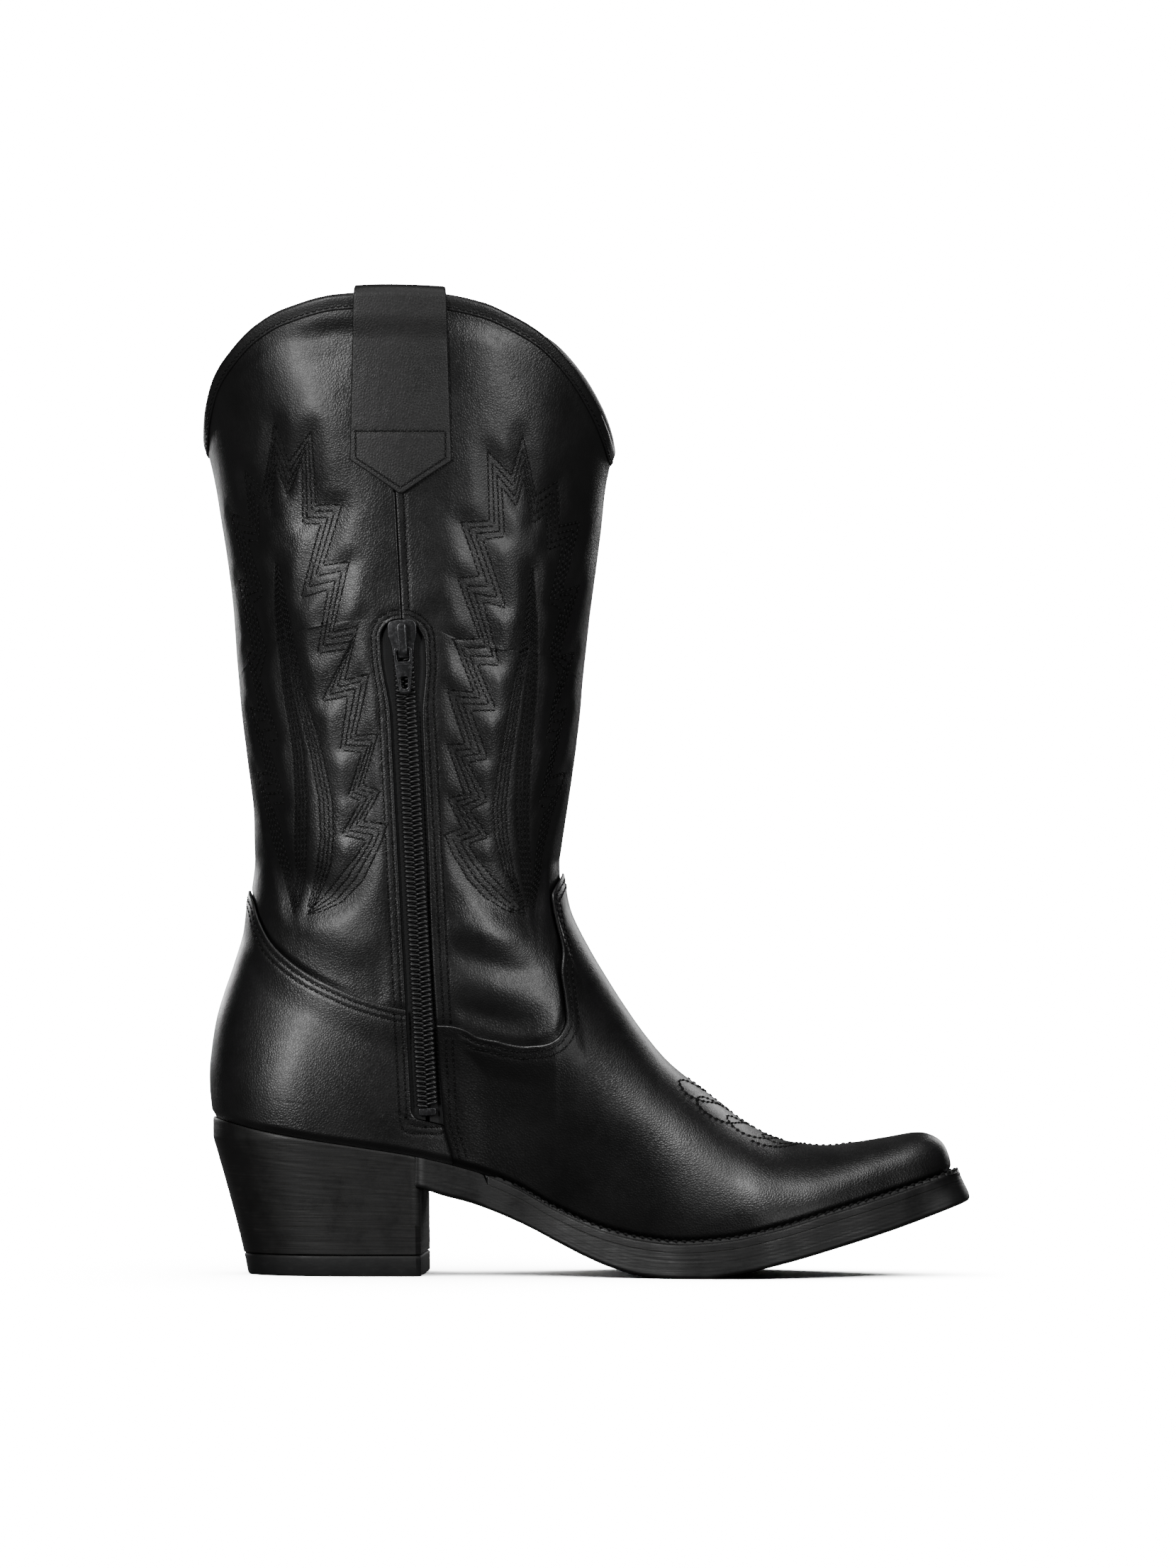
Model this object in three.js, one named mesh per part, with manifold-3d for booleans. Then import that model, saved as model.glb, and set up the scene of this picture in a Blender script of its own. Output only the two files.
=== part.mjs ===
// Left cowboy boot with a scalloped shaft, block heel, welted sole and a zip on its inner side.
// Millimetres. +X is the toe, +Z is up, -Y is the inner side with the zip. The origin is on the
// ground, in the middle of the boot's bounding box.
import * as THREE from 'three';
import { mergeVertices } from 'three/addons/utils/BufferGeometryUtils.js';
import Module from 'manifold-3d';

const wasm = await Module();
wasm.setup();

const { lerp, clamp, smoothstep, degToRad } = THREE.MathUtils;

// ---------------------------------------------------------------- driving dimensions

const TOE_X = 132.5; // front end of the upper
const HEEL_X = -136.9; // back end of the upper at the sole
const SOLE_TOE_X = 139.7;
const SOLE_HEEL_X = -137.6;
const WELT_END_X = -35; // the welt starts at the waist on both sides
const BREAST_X = -59.5; // front face of the heel

const ANKLE_Z = 149.6; // where the instep turns into the shaft
const BACK_ANKLE_Z = 144;
const SIDE_ANKLE_Z = 149;
const SIDE_FOOT_Z = 42.4; // side seam line at the sole
const SIDE_TOP_Z = 356; // side seam line at the rim
const ANKLE_LEVEL = 0.4; // share of the level coordinate that is foot

const ZIP_BOTTOM = { x: -56.8, z: 57.6, half: 29.5 };
const ZIP_TOP = { x: -65.3, z: 238, half: 43 };

const LEATHER = 1.2;
const LAYER_GAP = 1.1;
const OUTER_COVER = [LAYER_GAP, LAYER_GAP + LEATHER]; // vamp and counter cover
const SHAFT_LAYER = [-LEATHER, 0];
const LINING_LAYER = [-3.3, -2.5];
const TAPE_LAYER = [-2.4, -1.8];
const PUFF_LAYER = [-1.3, -0.3];
const FEATHER_LEVEL = 0.004; // level at which the upper's pieces start, just above the welt

const WELT_THICKNESS = 3;
const LIFT_HEIGHT = 7.6;
const GAP = 0.3;
const CUT_TOP = 60; // cuts in the sole reach up to here, above all of it

const STRAP_WIDTH = 33;
const BINDING_LEG = 5;

// Side view outlines, [x, z], from the sole upwards.
const FRONT_OUTLINE = [
  [TOE_X, 36.8], [132.2, 42], [129.6, 48], [124.7, 51.2], [119, 51.8], [109, 50], [98.8, 48.1],
  [88, 46.5], [78, 47.2], [68, 49.6], [56, 56], [42.5, 66.6], [29.6, 77], [20.5, 87.4],
  [13.2, 97.8], [6.7, 108], [0.3, 118.5], [-5.2, 129], [-8.8, 139], [-10.1, ANKLE_Z],
  [-9.3, 156], [-6, 180.7], [-3.1, 206.7], [0, 232.6], [3.2, 258.5], [5.7, 284], [9.1, 300],
];
const BACK_OUTLINE = [
  [HEEL_X, 57.3], [-138.1, 68], [-138, 78], [-136, 92.6], [-133, 103], [-129.4, 113],
  [-125.6, 126], [-122.9, BACK_ANKLE_Z], [-122.5, 165], [-123.9, 180.7], [-126.8, 206.7],
  [-129.1, 232.6], [-132.2, 258.5], [-135.6, 284], [-140, 303],
];
const FEATHER_LINE = [
  [HEEL_X, 57.3], [-118, 52.8], [-99.8, 49.6], [-81.4, 46.8], [-61.7, 43.6], [-48.7, 40.6],
  [-35.8, 36.8], [-23.6, 31.6], [-11.4, 24.8], [7.5, 16.9], [21.3, 13.7], [36, 12.4],
  [51.6, 13.5], [70.3, 17.4], [89.2, 23], [108.1, 28.7], [127, 34.9], [TOE_X, 36.8],
  [140, 38.6],
];
const RIM = [
  [-140, 303], [-138.6, 314], [-134.6, 326.5], [-129.4, 334.2], [-119, 344.3], [-108.6, 350],
  [-88, 355.2], [-70.8, SIDE_TOP_Z], [-52, 355.4], [-36, 352.4], [-25.7, 348], [-15.3, 341.8],
  [-4.9, 330.9], [3.5, 317], [7.4, 307], [9.1, 300],
];
const SOLE_BOTTOM = [
  [-137, 46.2], [-110, 40.6], [-85, 36.6], [-60.2, 32.4], [-51.6, 29.6], [-41.2, 26.8],
  [-30.9, 23], [-20.5, 18.4], [-10.1, 13], [0.3, 7.8], [10.6, 3.6], [21, 0.9], [32, 0], [44, 0],
  [54, 1.2], [72.9, 5.4], [93.6, 11.3], [114.4, 17.9], [135.1, 25.6], [140, 27.6],
];
// Plan view half widths of the upper at the sole, [x, half width], before the ends are rounded.
const INNER_PLAN = [
  [-140, 27.5], [-110, 29.6], [-90, 30], [-56, 28.4], [-22, 25.5], [10, 31], [38, 38.5],
  [60, 39.5], [80, 35], [100, 26.5], [115, 19], [127, 13.6], [140, 11],
];
const OUTER_PLAN = [
  [-140, 27.5], [-110, 29.6], [-90, 30], [-56, 28.4], [-22, 31], [10, 39], [32, 43],
  [52, 42], [78, 34.5], [100, 25], [115, 18], [127, 13.2], [140, 11],
];
// Edges of the outer covers on the side of the boot, [x, z], from the side seam outwards.
const VAMP_EDGE = [
  [-58.4, 91.6], [-40.8, 88.7], [-30.3, 85.6], [-20, 84], [-11.6, 85.6], [-7, 92],
  [-7.6, 101], [-9, 110], [-9, 120], [-11.5, 130], [-12.9, 139], [-10.2, 146.4],
];
const COUNTER_EDGE = [
  [-58.8, 96], [-69, 98], [-80.4, 101.2], [-90.8, 105.4], [-100.1, 110], [-108.5, 115.8],
  [-114.7, 122], [-118.9, 129.4], [-121.4, 136], [-123, 140.3],
];

// ---------------------------------------------------------------- curves

// A smooth function through points [t, value] that never overshoots them.
function smoothThrough(points) {
  const chord = points.slice(1).map(([t, y], i) => (y - points[i][1]) / (t - points[i][0]));
  const slope = points.map((_, i) => {
    const before = chord[Math.max(i - 1, 0)];
    const after = chord[Math.min(i, chord.length - 1)];
    return before * after <= 0 ? 0 : (2 * before * after) / (before + after);
  });
  return (t) => {
    const next = points.findIndex(([knot]) => knot > t);
    const i = next < 0 ? points.length - 2 : Math.max(next - 1, 0);
    const [t0, y0] = points[i];
    const [t1, y1] = points[i + 1];
    const span = t1 - t0;
    const u = clamp((t - t0) / span, 0, 1);
    const rise = u * u * (3 - 2 * u);
    const bendIn = slope[i] * span * u * (1 - u) * (1 - u);
    const bendOut = slope[i + 1] * span * u * u * (1 - u);
    return y0 + (y1 - y0) * rise + bendIn - bendOut;
  };
}

// Evenly spaced points along an outline, as a table of [x, z].
function outlineTable(points) {
  const curve = new THREE.SplineCurve(points.map(([x, z]) => new THREE.Vector2(x, z)));
  curve.arcLengthDivisions = 2000;
  return curve.getSpacedPoints(400).map((p) => [p.x, p.y]);
}

// Linear look-up in a table: the value in column `to` where column `from` has the given value.
function lookUp(table, from, to, value) {
  const rising = table[table.length - 1][from] > table[0][from];
  let low = 0;
  let high = table.length - 1;
  while (high - low > 1) {
    const middle = (low + high) >> 1;
    const before = rising ? table[middle][from] <= value : table[middle][from] >= value;
    if (before) low = middle;
    else high = middle;
  }
  const share = (value - table[low][from]) / (table[high][from] - table[low][from]);
  return lerp(table[low][to], table[high][to], share);
}

const feather = smoothThrough(FEATHER_LINE);
const rimHeight = smoothThrough(RIM);
const soleBottom = smoothThrough(SOLE_BOTTOM);
const innerPlan = smoothThrough(INNER_PLAN);
const outerPlan = smoothThrough(OUTER_PLAN);

const frontTable = outlineTable(FRONT_OUTLINE);
const backTable = outlineTable(BACK_OUTLINE);
const frontAnkle = frontTable.findIndex(([, z]) => z > ANKLE_Z);
const backAnkle = backTable.findIndex(([, z]) => z > BACK_ANKLE_Z);
const ridgeTable = frontTable.slice(0, frontAnkle);
const shinTable = frontTable.filter(([x]) => x < 60);

const ridgeEnd = ridgeTable[ridgeTable.length - 1];
const ridgeHeight = (x) =>
  x > ridgeEnd[0] ? lookUp(ridgeTable, 0, 1, x) : ridgeEnd[1] + 2.2 * (ridgeEnd[0] - x);
const frontX = (z) => (z > 300 ? 9.1 + 0.16 * (z - 300) : lookUp(shinTable, 1, 0, z));
const backX = (z) => {
  if (z > 303) return -140 - 0.2 * (z - 303);
  return z < 57.3 ? HEEL_X : lookUp(backTable, 1, 0, z);
};

const seamSlope = (ZIP_TOP.x - ZIP_BOTTOM.x) / (ZIP_TOP.z - ZIP_BOTTOM.z);
const seamX = (z) => ZIP_BOTTOM.x + seamSlope * (z - ZIP_BOTTOM.z);
const flare = (ZIP_TOP.half - ZIP_BOTTOM.half) / (ZIP_TOP.z - ZIP_BOTTOM.z);
const seamHalf = (z) => ZIP_BOTTOM.half + flare * (z - ZIP_BOTTOM.z);
const SEAM_FOOT_X = seamX(SIDE_FOOT_Z);

// ---------------------------------------------------------------- the boot's surface

const TOE_ROUNDING = { span: 16, inner: 3.2, outer: 2.6 };
const HEEL_ROUNDING = { span: 40, inner: 2.3, outer: 2.1 };

// Falls from 1 to 0 as `past` goes from 0 to the span.
function roundedEnd(past, { span, inner, outer }) {
  return (1 - clamp(past / span, 0, 1) ** inner) ** (1 / outer);
}

// Roundings of a plan outline towards the toe and the heel.
function endRounding(x, toeX, heelX) {
  const pastToe = x - toeX + TOE_ROUNDING.span;
  const pastHeel = heelX + HEEL_ROUNDING.span - x;
  return roundedEnd(pastToe, TOE_ROUNDING) * roundedEnd(pastHeel, HEEL_ROUNDING);
}

function planHalf(x, side, toeX = TOE_X, heelX = HEEL_X, margin = 0) {
  const half = side < 0 ? innerPlan(x) : outerPlan(x);
  return (half + margin) * endRounding(x, toeX, heelX);
}

// Exponents of the foot's cross section and of the leg's oval.
const FOOT_SECTION = { inner: 2.1, outer: 1.8 };
const LEG_SECTION = { inner: 2.1, outer: 2 };
const LEG_BLEND = { from: 55, to: 112 }; // heights between which the foot becomes the leg

// Half width of the foot part: the plan outline, drawn in towards the ridge.
function footHalf(x, z, side) {
  const seam = seamX(z);
  const inFront = x > seam;
  const end = inFront ? TOE_X : backX(z);
  const share = clamp((x - seam) / (end - seam), 0, 1);
  const planX = lerp(SEAM_FOOT_X, inFront ? TOE_X : HEEL_X, share);
  const bottom = feather(x);
  const height = clamp((z - bottom) / (ridgeHeight(x) - bottom), 0, 1);
  return planHalf(planX, side) * (1 - height ** FOOT_SECTION.inner) ** (1 / FOOT_SECTION.outer);
}

// Half width of the leg part: one oval at each height.
function legHalf(x, z) {
  const seam = seamX(z);
  const end = x > seam ? frontX(z) : backX(z);
  const share = clamp((x - seam) / (end - seam), 0, 1);
  return seamHalf(z) * (1 - share ** LEG_SECTION.inner) ** (1 / LEG_SECTION.outer);
}

function halfWidth(x, z, side) {
  const leg = smoothstep(z, LEG_BLEND.from, LEG_BLEND.to);
  const zSeam = Math.max(z, SIDE_FOOT_Z);
  const scale = seamHalf(zSeam) / footHalf(seamX(zSeam), zSeam, side);
  const foot = leg < 1 ? scale * footHalf(x, z, side) : 0;
  return lerp(foot, leg > 0 ? legHalf(x, z) : 0, leg);
}

function tablePoint(table, ankle, level) {
  const last = table.length - 1;
  const index = level < ANKLE_LEVEL
    ? (level / ANKLE_LEVEL) * ankle
    : lerp(ankle, last, (level - ANKLE_LEVEL) / (1 - ANKLE_LEVEL));
  const i = Math.min(Math.floor(index), last - 1);
  return new THREE.Vector2(
    lerp(table[i][0], table[i + 1][0], index - i),
    lerp(table[i][1], table[i + 1][1], index - i),
  );
}

function seamPoint(level) {
  const z = level < ANKLE_LEVEL
    ? lerp(SIDE_FOOT_Z, SIDE_ANKLE_Z, level / ANKLE_LEVEL)
    : lerp(SIDE_ANKLE_Z, SIDE_TOP_Z, (level - ANKLE_LEVEL) / (1 - ANKLE_LEVEL));
  return new THREE.Vector2(seamX(z), z);
}

// Side view position: `reach` is 0 on the side seam and 1 on the front or back outline, and
// `level` is 0 at the sole and 1 at the rim. A patch filled in between its four border curves.
function sidePoint(inFront, reach, level) {
  const outline = (t) =>
    inFront ? tablePoint(frontTable, frontAnkle, t) : tablePoint(backTable, backAnkle, t);
  const along = (height, t) => {
    const x = lerp(seamPoint(t).x, outline(t).x, reach);
    return new THREE.Vector2(x, height(x));
  };
  const ruled = (t) => seamPoint(t).lerp(outline(t), reach);
  const sum = ruled(level);
  sum.addScaledVector(along(feather, 0).sub(ruled(0)), 1 - level);
  sum.addScaledVector(along(rimHeight, 1).sub(ruled(1)), smoothstep(level, 0.35, 1));
  if (inFront) sum.y -= ridgeDrop(reach, level);
  return sum;
}

const RIDGE_DROP = 45;

// On the toe the ridge runs nearly level, so the rings are drawn down beside it.
function ridgeDrop(reach, level) {
  const share = smoothstep(level, 0, 0.02) * (1 - smoothstep(level, 0.1, 0.3));
  return RIDGE_DROP * share * (1 - reach) * reach ** 6;
}

// A point on the boot's surface. `turn` is in degrees: 0 front, -90 inner seam, 90 outer seam,
// 180 back.
function skinPoint(turn, level) {
  const angle = degToRad(turn);
  const reach = Math.cos(angle);
  const p = sidePoint(reach >= 0, Math.abs(reach), level);
  const side = Math.sin(angle) < 0 ? -1 : 1;
  const onRidge = Math.abs(Math.sin(angle)) < 1e-6;
  const half = onRidge ? 0 : halfWidth(p.x, p.y, side);
  return new THREE.Vector3(p.x, side * half, p.y);
}

function skinFrame(turn, level) {
  const step = 0.002;
  const low = Math.max(level - step, 0);
  const high = Math.min(level + step, 1);
  const up = skinPoint(turn, high).sub(skinPoint(turn, low));
  const round = skinPoint(turn + 0.5, level).sub(skinPoint(turn - 0.5, level));
  const out = round.clone().cross(up).normalize();
  return { out, up: up.clone().normalize(), perLevel: up.length() / (high - low) };
}

function skinOffset(turn, level, offset) {
  return skinPoint(turn, level).addScaledVector(skinFrame(turn, level).out, offset);
}

// A point near the rim, `height` above it (or below, when negative) and `offset` outwards.
function rimPoint(turn, offset, height) {
  const frame = skinFrame(turn, 1);
  if (height < 0) return skinOffset(turn, 1 + height / frame.perLevel, offset);
  return skinOffset(turn, 1, offset).addScaledVector(frame.up, height);
}

// The angle away from the side seam at which the surface is `distance` from the seam line.
function turnFromSeam(distance, inFront, level) {
  const probe = 0.05;
  const span = sidePoint(inFront, probe, level).distanceTo(seamPoint(level)) / probe;
  return THREE.MathUtils.radToDeg(Math.asin(Math.min(distance / span, 1)));
}

// Turn and level of a point given in the side view.
function locate([x, z], inFront) {
  const target = new THREE.Vector2(x, z);
  let turn = inFront ? 45 : 135;
  let level = 0.3;
  const at = (t, l) => {
    const reach = Math.cos(degToRad(t));
    return sidePoint(inFront, Math.abs(reach), l);
  };
  for (let round = 0; round < 40; round += 1) {
    const here = at(turn, level);
    const byTurn = at(turn + 0.1, level).sub(here).divideScalar(0.1);
    const byLevel = at(turn, level + 1e-4).sub(here).divideScalar(1e-4);
    const miss = target.clone().sub(here);
    const det = byTurn.x * byLevel.y - byTurn.y * byLevel.x;
    const turnStep = (miss.x * byLevel.y - miss.y * byLevel.x) / det;
    const levelStep = (byTurn.x * miss.y - byTurn.y * miss.x) / det;
    turn = clamp(turn + clamp(turnStep, -8, 8), inFront ? 0.5 : 90, inFront ? 90 : 179.5);
    level = clamp(level + clamp(levelStep, -0.05, 0.05), 0, 0.999);
  }
  return [turn, level];
}

// The level of an edge that is drawn in the side view, as a function of the turn.
function edgeLevel(points, inFront) {
  const located = points.map((point) => locate(point, inFront));
  located[located.length - 1][0] = inFront ? 0 : 180;
  located[0][0] = 90;
  located.sort((a, b) => a[0] - b[0]);
  const level = smoothThrough(located);
  return (turn) => {
    const folded = Math.abs(((turn + 540) % 360) - 180);
    return level(folded);
  };
}

const vampTop = edgeLevel(VAMP_EDGE, true);
const counterTop = edgeLevel(COUNTER_EDGE, false);

// ---------------------------------------------------------------- solid builders

// Bends a box with the given segments: (a, b, c) in 0..1 goes to place(a, b, c).
function bentBox([na, nb, nc], place) {
  const geometry = new THREE.BoxGeometry(1, 1, 1, na, nb, nc);
  return bend(geometry, (p) => place(p.x + 0.5, p.y + 0.5, p.z + 0.5));
}

// Bends an extruded section: section coordinates x and y, and c in 0..1 along it.
function bentSection(section, steps, place) {
  const shape = new THREE.Shape(section.map(([x, y]) => new THREE.Vector2(x, y)));
  const geometry = new THREE.ExtrudeGeometry(shape, { depth: 1, steps, bevelEnabled: false });
  return bend(geometry, (p) => place(p.x, p.y, p.z));
}

function bend(geometry, place) {
  const position = geometry.getAttribute('position');
  const p = new THREE.Vector3();
  for (let i = 0; i < position.count; i += 1) {
    p.fromBufferAttribute(position, i);
    const q = place(p);
    position.setXYZ(i, q.x, q.y, q.z);
  }
  geometry.computeVertexNormals();
  return geometry;
}

function toSolid(geometry) {
  const bare = geometry.clone();
  bare.deleteAttribute('normal');
  bare.deleteAttribute('uv');
  const merged = mergeVertices(bare, 1e-4);
  return new wasm.Manifold(new wasm.Mesh({
    numProp: 3,
    vertProperties: merged.getAttribute('position').array,
    triVerts: Uint32Array.from(merged.index.array),
  }));
}

function fromSolid(solid) {
  const mesh = solid.getMesh();
  const geometry = new THREE.BufferGeometry();
  geometry.setAttribute('position', new THREE.BufferAttribute(mesh.vertProperties, 3));
  geometry.setIndex(new THREE.BufferAttribute(mesh.triVerts, 1));
  geometry.computeVertexNormals();
  return geometry;
}

const cutAway = (geometry, tools) =>
  fromSolid(tools.reduce((solid, tool) => solid.subtract(toSolid(tool)), toSolid(geometry)));

const joined = (geometries) =>
  fromSolid(geometries.map(toSolid).reduce((all, one) => all.add(one)));

const boot = new THREE.Group();

function addPiece(parent, name, geometry, material) {
  const mesh = new THREE.Mesh(geometry, new THREE.MeshStandardMaterial(material));
  mesh.name = name;
  parent.add(mesh);
}

// ---------------------------------------------------------------- materials

const blackLeather = { color: 0x17161a, roughness: 0.38, metalness: 0 };
const strapLeather = { color: 0x19181b, roughness: 0.42, metalness: 0 };
const liningLeather = { color: 0x2a2624, roughness: 0.75, metalness: 0 };
const stiffBoard = { color: 0xa58d6d, roughness: 0.9, metalness: 0 };
const cork = { color: 0xa67c52, roughness: 0.95, metalness: 0 };
const soleRubber = { color: 0x1b1b1c, roughness: 0.55, metalness: 0 };
const heelStack = { color: 0x1d1b1a, roughness: 0.5, metalness: 0 };
const steel = { color: 0x9a9a9e, roughness: 0.4, metalness: 1 };
const zipFabric = { color: 0x151517, roughness: 0.85, metalness: 0 };
const zipCoil = { color: 0x202024, roughness: 0.4, metalness: 0 };
const zipMetal = { color: 0x2b2b2e, roughness: 0.3, metalness: 0.9 };

// ---------------------------------------------------------------- sole and heel

// A plate that follows the foot's plan. `low` and `high` give its faces' heights at x.
function footPlate({ from, to, toeX, heelX, margin, low, high, stations, across, breaks = [] }) {
  const middle = (from + to) / 2;
  const radius = (to - from) / 2;
  const places = Array.from({ length: stations + 1 }, (_, i) =>
    middle - radius * Math.cos((Math.PI * i) / stations));
  const ordered = [...places.filter((x) => breaks.every((b) => Math.abs(x - b) > 1.5)), ...breaks]
    .sort((a, b) => a - b);
  const count = ordered.length - 1;
  return bentBox([count, across, 1], (a, b, c) => {
    const x = ordered[Math.round(a * count)];
    const side = b < 0.5 ? -1 : 1;
    const y = (2 * b - 1) * planHalf(x, side, toeX, heelX, margin);
    return new THREE.Vector3(x, y, lerp(low(x), high(x), c));
  });
}

const TREAD = [32, 44]; // the flat part of the sole, on the ground
const SHANK = { half: 7, from: -112, to: -42, low: -2.6, high: -0.9 };

function addOutsole() {
  const step = (x) => (x < WELT_END_X - 2 ? GAP : WELT_THICKNESS + GAP);
  const plate = footPlate({
    from: SOLE_HEEL_X + 0.3,
    to: SOLE_TOE_X - 0.1,
    toeX: SOLE_TOE_X,
    heelX: SOLE_HEEL_X,
    margin: 0,
    low: soleBottom,
    high: (x) => feather(x) - step(x),
    stations: 30,
    across: 2,
    breaks: [BREAST_X - 1, WELT_END_X - 2.1, WELT_END_X - 1, ...TREAD],
  });
  const wide = bend(plate, (p) => new THREE.Vector3(p.x, p.y * soleWidening(p.x), p.z));
  const { half, from, to, low } = SHANK;
  const pocket = shankStrip(half + 1, from - 1, to + 1, (x) => feather(x) + low - GAP, () => CUT_TOP);
  addPiece(boot, 'outsole', cutAway(wide, [pocket, ...fastenerHoles()]), soleRubber);
}

const SOLE_WIDENING = { heel: 1.03, forefoot: 1.11, toe: 0.16 };

// The sole stands out past the upper: about 4 mm beside the forefoot, and 1 mm round the heel.
function soleWidening(x) {
  const forefoot = smoothstep(x, WELT_END_X - 8, WELT_END_X + 12);
  const toe = smoothstep(x, 85, 125);
  return lerp(SOLE_WIDENING.heel, SOLE_WIDENING.forefoot, forefoot) + SOLE_WIDENING.toe * toe;
}

function addWelt() {
  const rings = 44;
  const depth = 11; // how far the welt reaches in under the toe
  const span = SOLE_TOE_X - SEAM_FOOT_X;
  const endTurn = Math.acos((WELT_END_X - SEAM_FOOT_X) / span);
  const place = (a, b, c) => {
    const turn = lerp(-endTurn, endTurn, a);
    const side = turn < 0 ? -1 : 1;
    const outerX = SEAM_FOOT_X + span * Math.cos(turn);
    const innerX = SEAM_FOOT_X + (span - depth) * Math.cos(turn);
    const outerY = side * planHalf(outerX, side, SOLE_TOE_X, SOLE_HEEL_X) * soleWidening(outerX);
    const innerY = side * Math.max(planHalf(innerX, side, SOLE_TOE_X - depth) - 6, 0.2);
    const x = lerp(innerX, outerX, 1 - b);
    const y = Math.abs(Math.sin(turn)) < 1e-6 ? 0 : lerp(innerY, outerY, 1 - b);
    return new THREE.Vector3(x, y, feather(x) - lerp(WELT_THICKNESS, 0, c));
  };
  addPiece(boot, 'welt', bentBox([rings, 1, 1], place), soleRubber);
}

function addBottomFiller() {
  const filler = footPlate({
    from: WELT_END_X + 4,
    to: SOLE_TOE_X - 22,
    toeX: SOLE_TOE_X - 20,
    heelX: HEEL_X,
    margin: -8,
    low: (x) => feather(x) - WELT_THICKNESS,
    high: (x) => feather(x) - GAP,
    stations: 12,
    across: 2,
  });
  addPiece(boot, 'bottom_filler', filler, cork);
}

// A strip along the middle of the sole.
function shankStrip(halfWide, from, to, low, high) {
  return bentBox([10, 1, 1], (a, b, c) => {
    const x = lerp(from, to, a);
    return new THREE.Vector3(x, lerp(-halfWide, halfWide, b), lerp(low(x), high(x), c));
  });
}

function addShank() {
  const { half, from, to, low, high } = SHANK;
  const strip = shankStrip(half, from, to, (x) => feather(x) + low, (x) => feather(x) + high);
  addPiece(boot, 'shank', strip, steel);
}

const HEEL_SCREW = { name: 'heel_screw', x: -120, y: 0, radius: 2.2, bottom: 22 };
const HEEL_NAILS = [[-74, -16], [-74, 16], [-106, -15], [-106, 15]].map(([x, y], i) => ({
  name: `heel_nail_${i + 1}`, x, y, radius: 1.1, bottom: 17,
}));

function fastenerRod({ x, y, radius, bottom }, top) {
  const rod = new THREE.CylinderGeometry(radius, radius, top - bottom, 8);
  rod.rotateX(Math.PI / 2);
  rod.translate(x, y, (top + bottom) / 2);
  return rod;
}

const fastenerHoles = () => [HEEL_SCREW, ...HEEL_NAILS].map((one) =>
  fastenerRod({ ...one, radius: one.radius + 0.4, bottom: one.bottom - 1 }, CUT_TOP));

function addFasteners() {
  for (const one of [HEEL_SCREW, ...HEEL_NAILS]) {
    addPiece(boot, one.name, fastenerRod(one, feather(one.x) - 1.2), steel);
  }
}

const HEEL = { backLow: -124.6, backHigh: -136.7, halfLow: 26.6, halfHigh: 30.1, straight: 34, rise: 47 };

// The heel's plan at a share of its height: straight breast, rounded back.
function heelPoint(a, b, share) {
  const back = lerp(HEEL.backLow, HEEL.backHigh, share ** 1.15);
  const front = BREAST_X - 0.6 * share;
  const half = lerp(HEEL.halfLow, HEEL.halfHigh, share);
  // Stations crowd towards the rounded back, and the first one keeps a little width.
  const along = 1 - Math.cos((Math.PI / 2) * Math.min(a / 0.985, 1));
  const x = lerp(back, front, along * 0.985 + 0.015 * a + 0.004);
  const round = { span: front - HEEL.straight - back, inner: 2.4, outer: 2.2 };
  const rounding = roundedEnd(front - HEEL.straight - x, round);
  return { x, y: (2 * b - 1) * half * rounding };
}

function addHeel() {
  const low = LIFT_HEIGHT + GAP;
  const share = (z) => clamp(z / HEEL.rise, 0, 1);
  const block = bentBox([12, 2, 4], (a, b, c) => {
    const top = soleBottom(lerp(HEEL.backHigh, BREAST_X, a)) - GAP;
    const { x, y } = heelPoint(a, b, share(lerp(low, top, c)));
    return new THREE.Vector3(x, y, lerp(low, soleBottom(x) - GAP, c));
  });
  addPiece(boot, 'heel_block', cutAway(block, fastenerHoles()), heelStack);
  const lift = bentBox([12, 2, 1], (a, b, c) => {
    const { x, y } = heelPoint(a, b, share(LIFT_HEIGHT * c));
    return new THREE.Vector3(x, y, LIFT_HEIGHT * c);
  });
  addPiece(boot, 'top_lift', lift, soleRubber);
}

function addInsoles() {
  const inside = (margin, lowLift, highLift, from, to) => footPlate({
    from,
    to,
    toeX: TOE_X - 4,
    heelX: HEEL_X + 4,
    margin,
    low: (x) => feather(x) + lowLift,
    high: (x) => feather(x) + highLift,
    stations: 20,
    across: 2,
  });
  addPiece(boot, 'insole_board', inside(-4.4, 0.5, 2.5, HEEL_X + 4.3, TOE_X - 4.2), stiffBoard);
  addPiece(boot, 'sock_liner', inside(-5, 2.8, 4, HEEL_X + 4.5, TOE_X - 8), liningLeather);
  addPiece(boot, 'heel_pad', inside(-5.4, 4.3, 6.8, HEEL_X + 5, -78), cork);
}

// ---------------------------------------------------------------- upper

// A sheet of the upper. `turns(level)` and `levels(turn)` give its borders.
// `knee` puts one row of the sheet at a set level, such as the top of the zip's window.
function upperSheet({ columns, rows, turns, levels, layer, bunching = 1, knee }) {
  const levelAt = (b, [low, high]) => {
    if (!knee) return lerp(low, high, b ** bunching);
    const share = knee.row / rows;
    if (b < share + 1e-6) return lerp(low, knee.level, b / share);
    return lerp(knee.level, high, (b - share) / (1 - share));
  };
  return bentBox([columns, rows, 1], (a, b, c) => {
    let level = levelAt(b, levels(0));
    let turn = 0;
    for (let pass = 0; pass < 4; pass += 1) {
      const [turnLow, turnHigh] = turns(level);
      turn = lerp(turnLow, turnHigh, a);
      level = levelAt(b, levels(turn));
    }
    return skinOffset(turn, level, lerp(layer[0], layer[1], c));
  });
}

const ZIP_TOP_LEVEL = levelOfSeam(ZIP_TOP.z + 3);
const ZIP_FOOT_LEVEL = 0.022;
const SEAM_GAP = 0.2;

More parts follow.
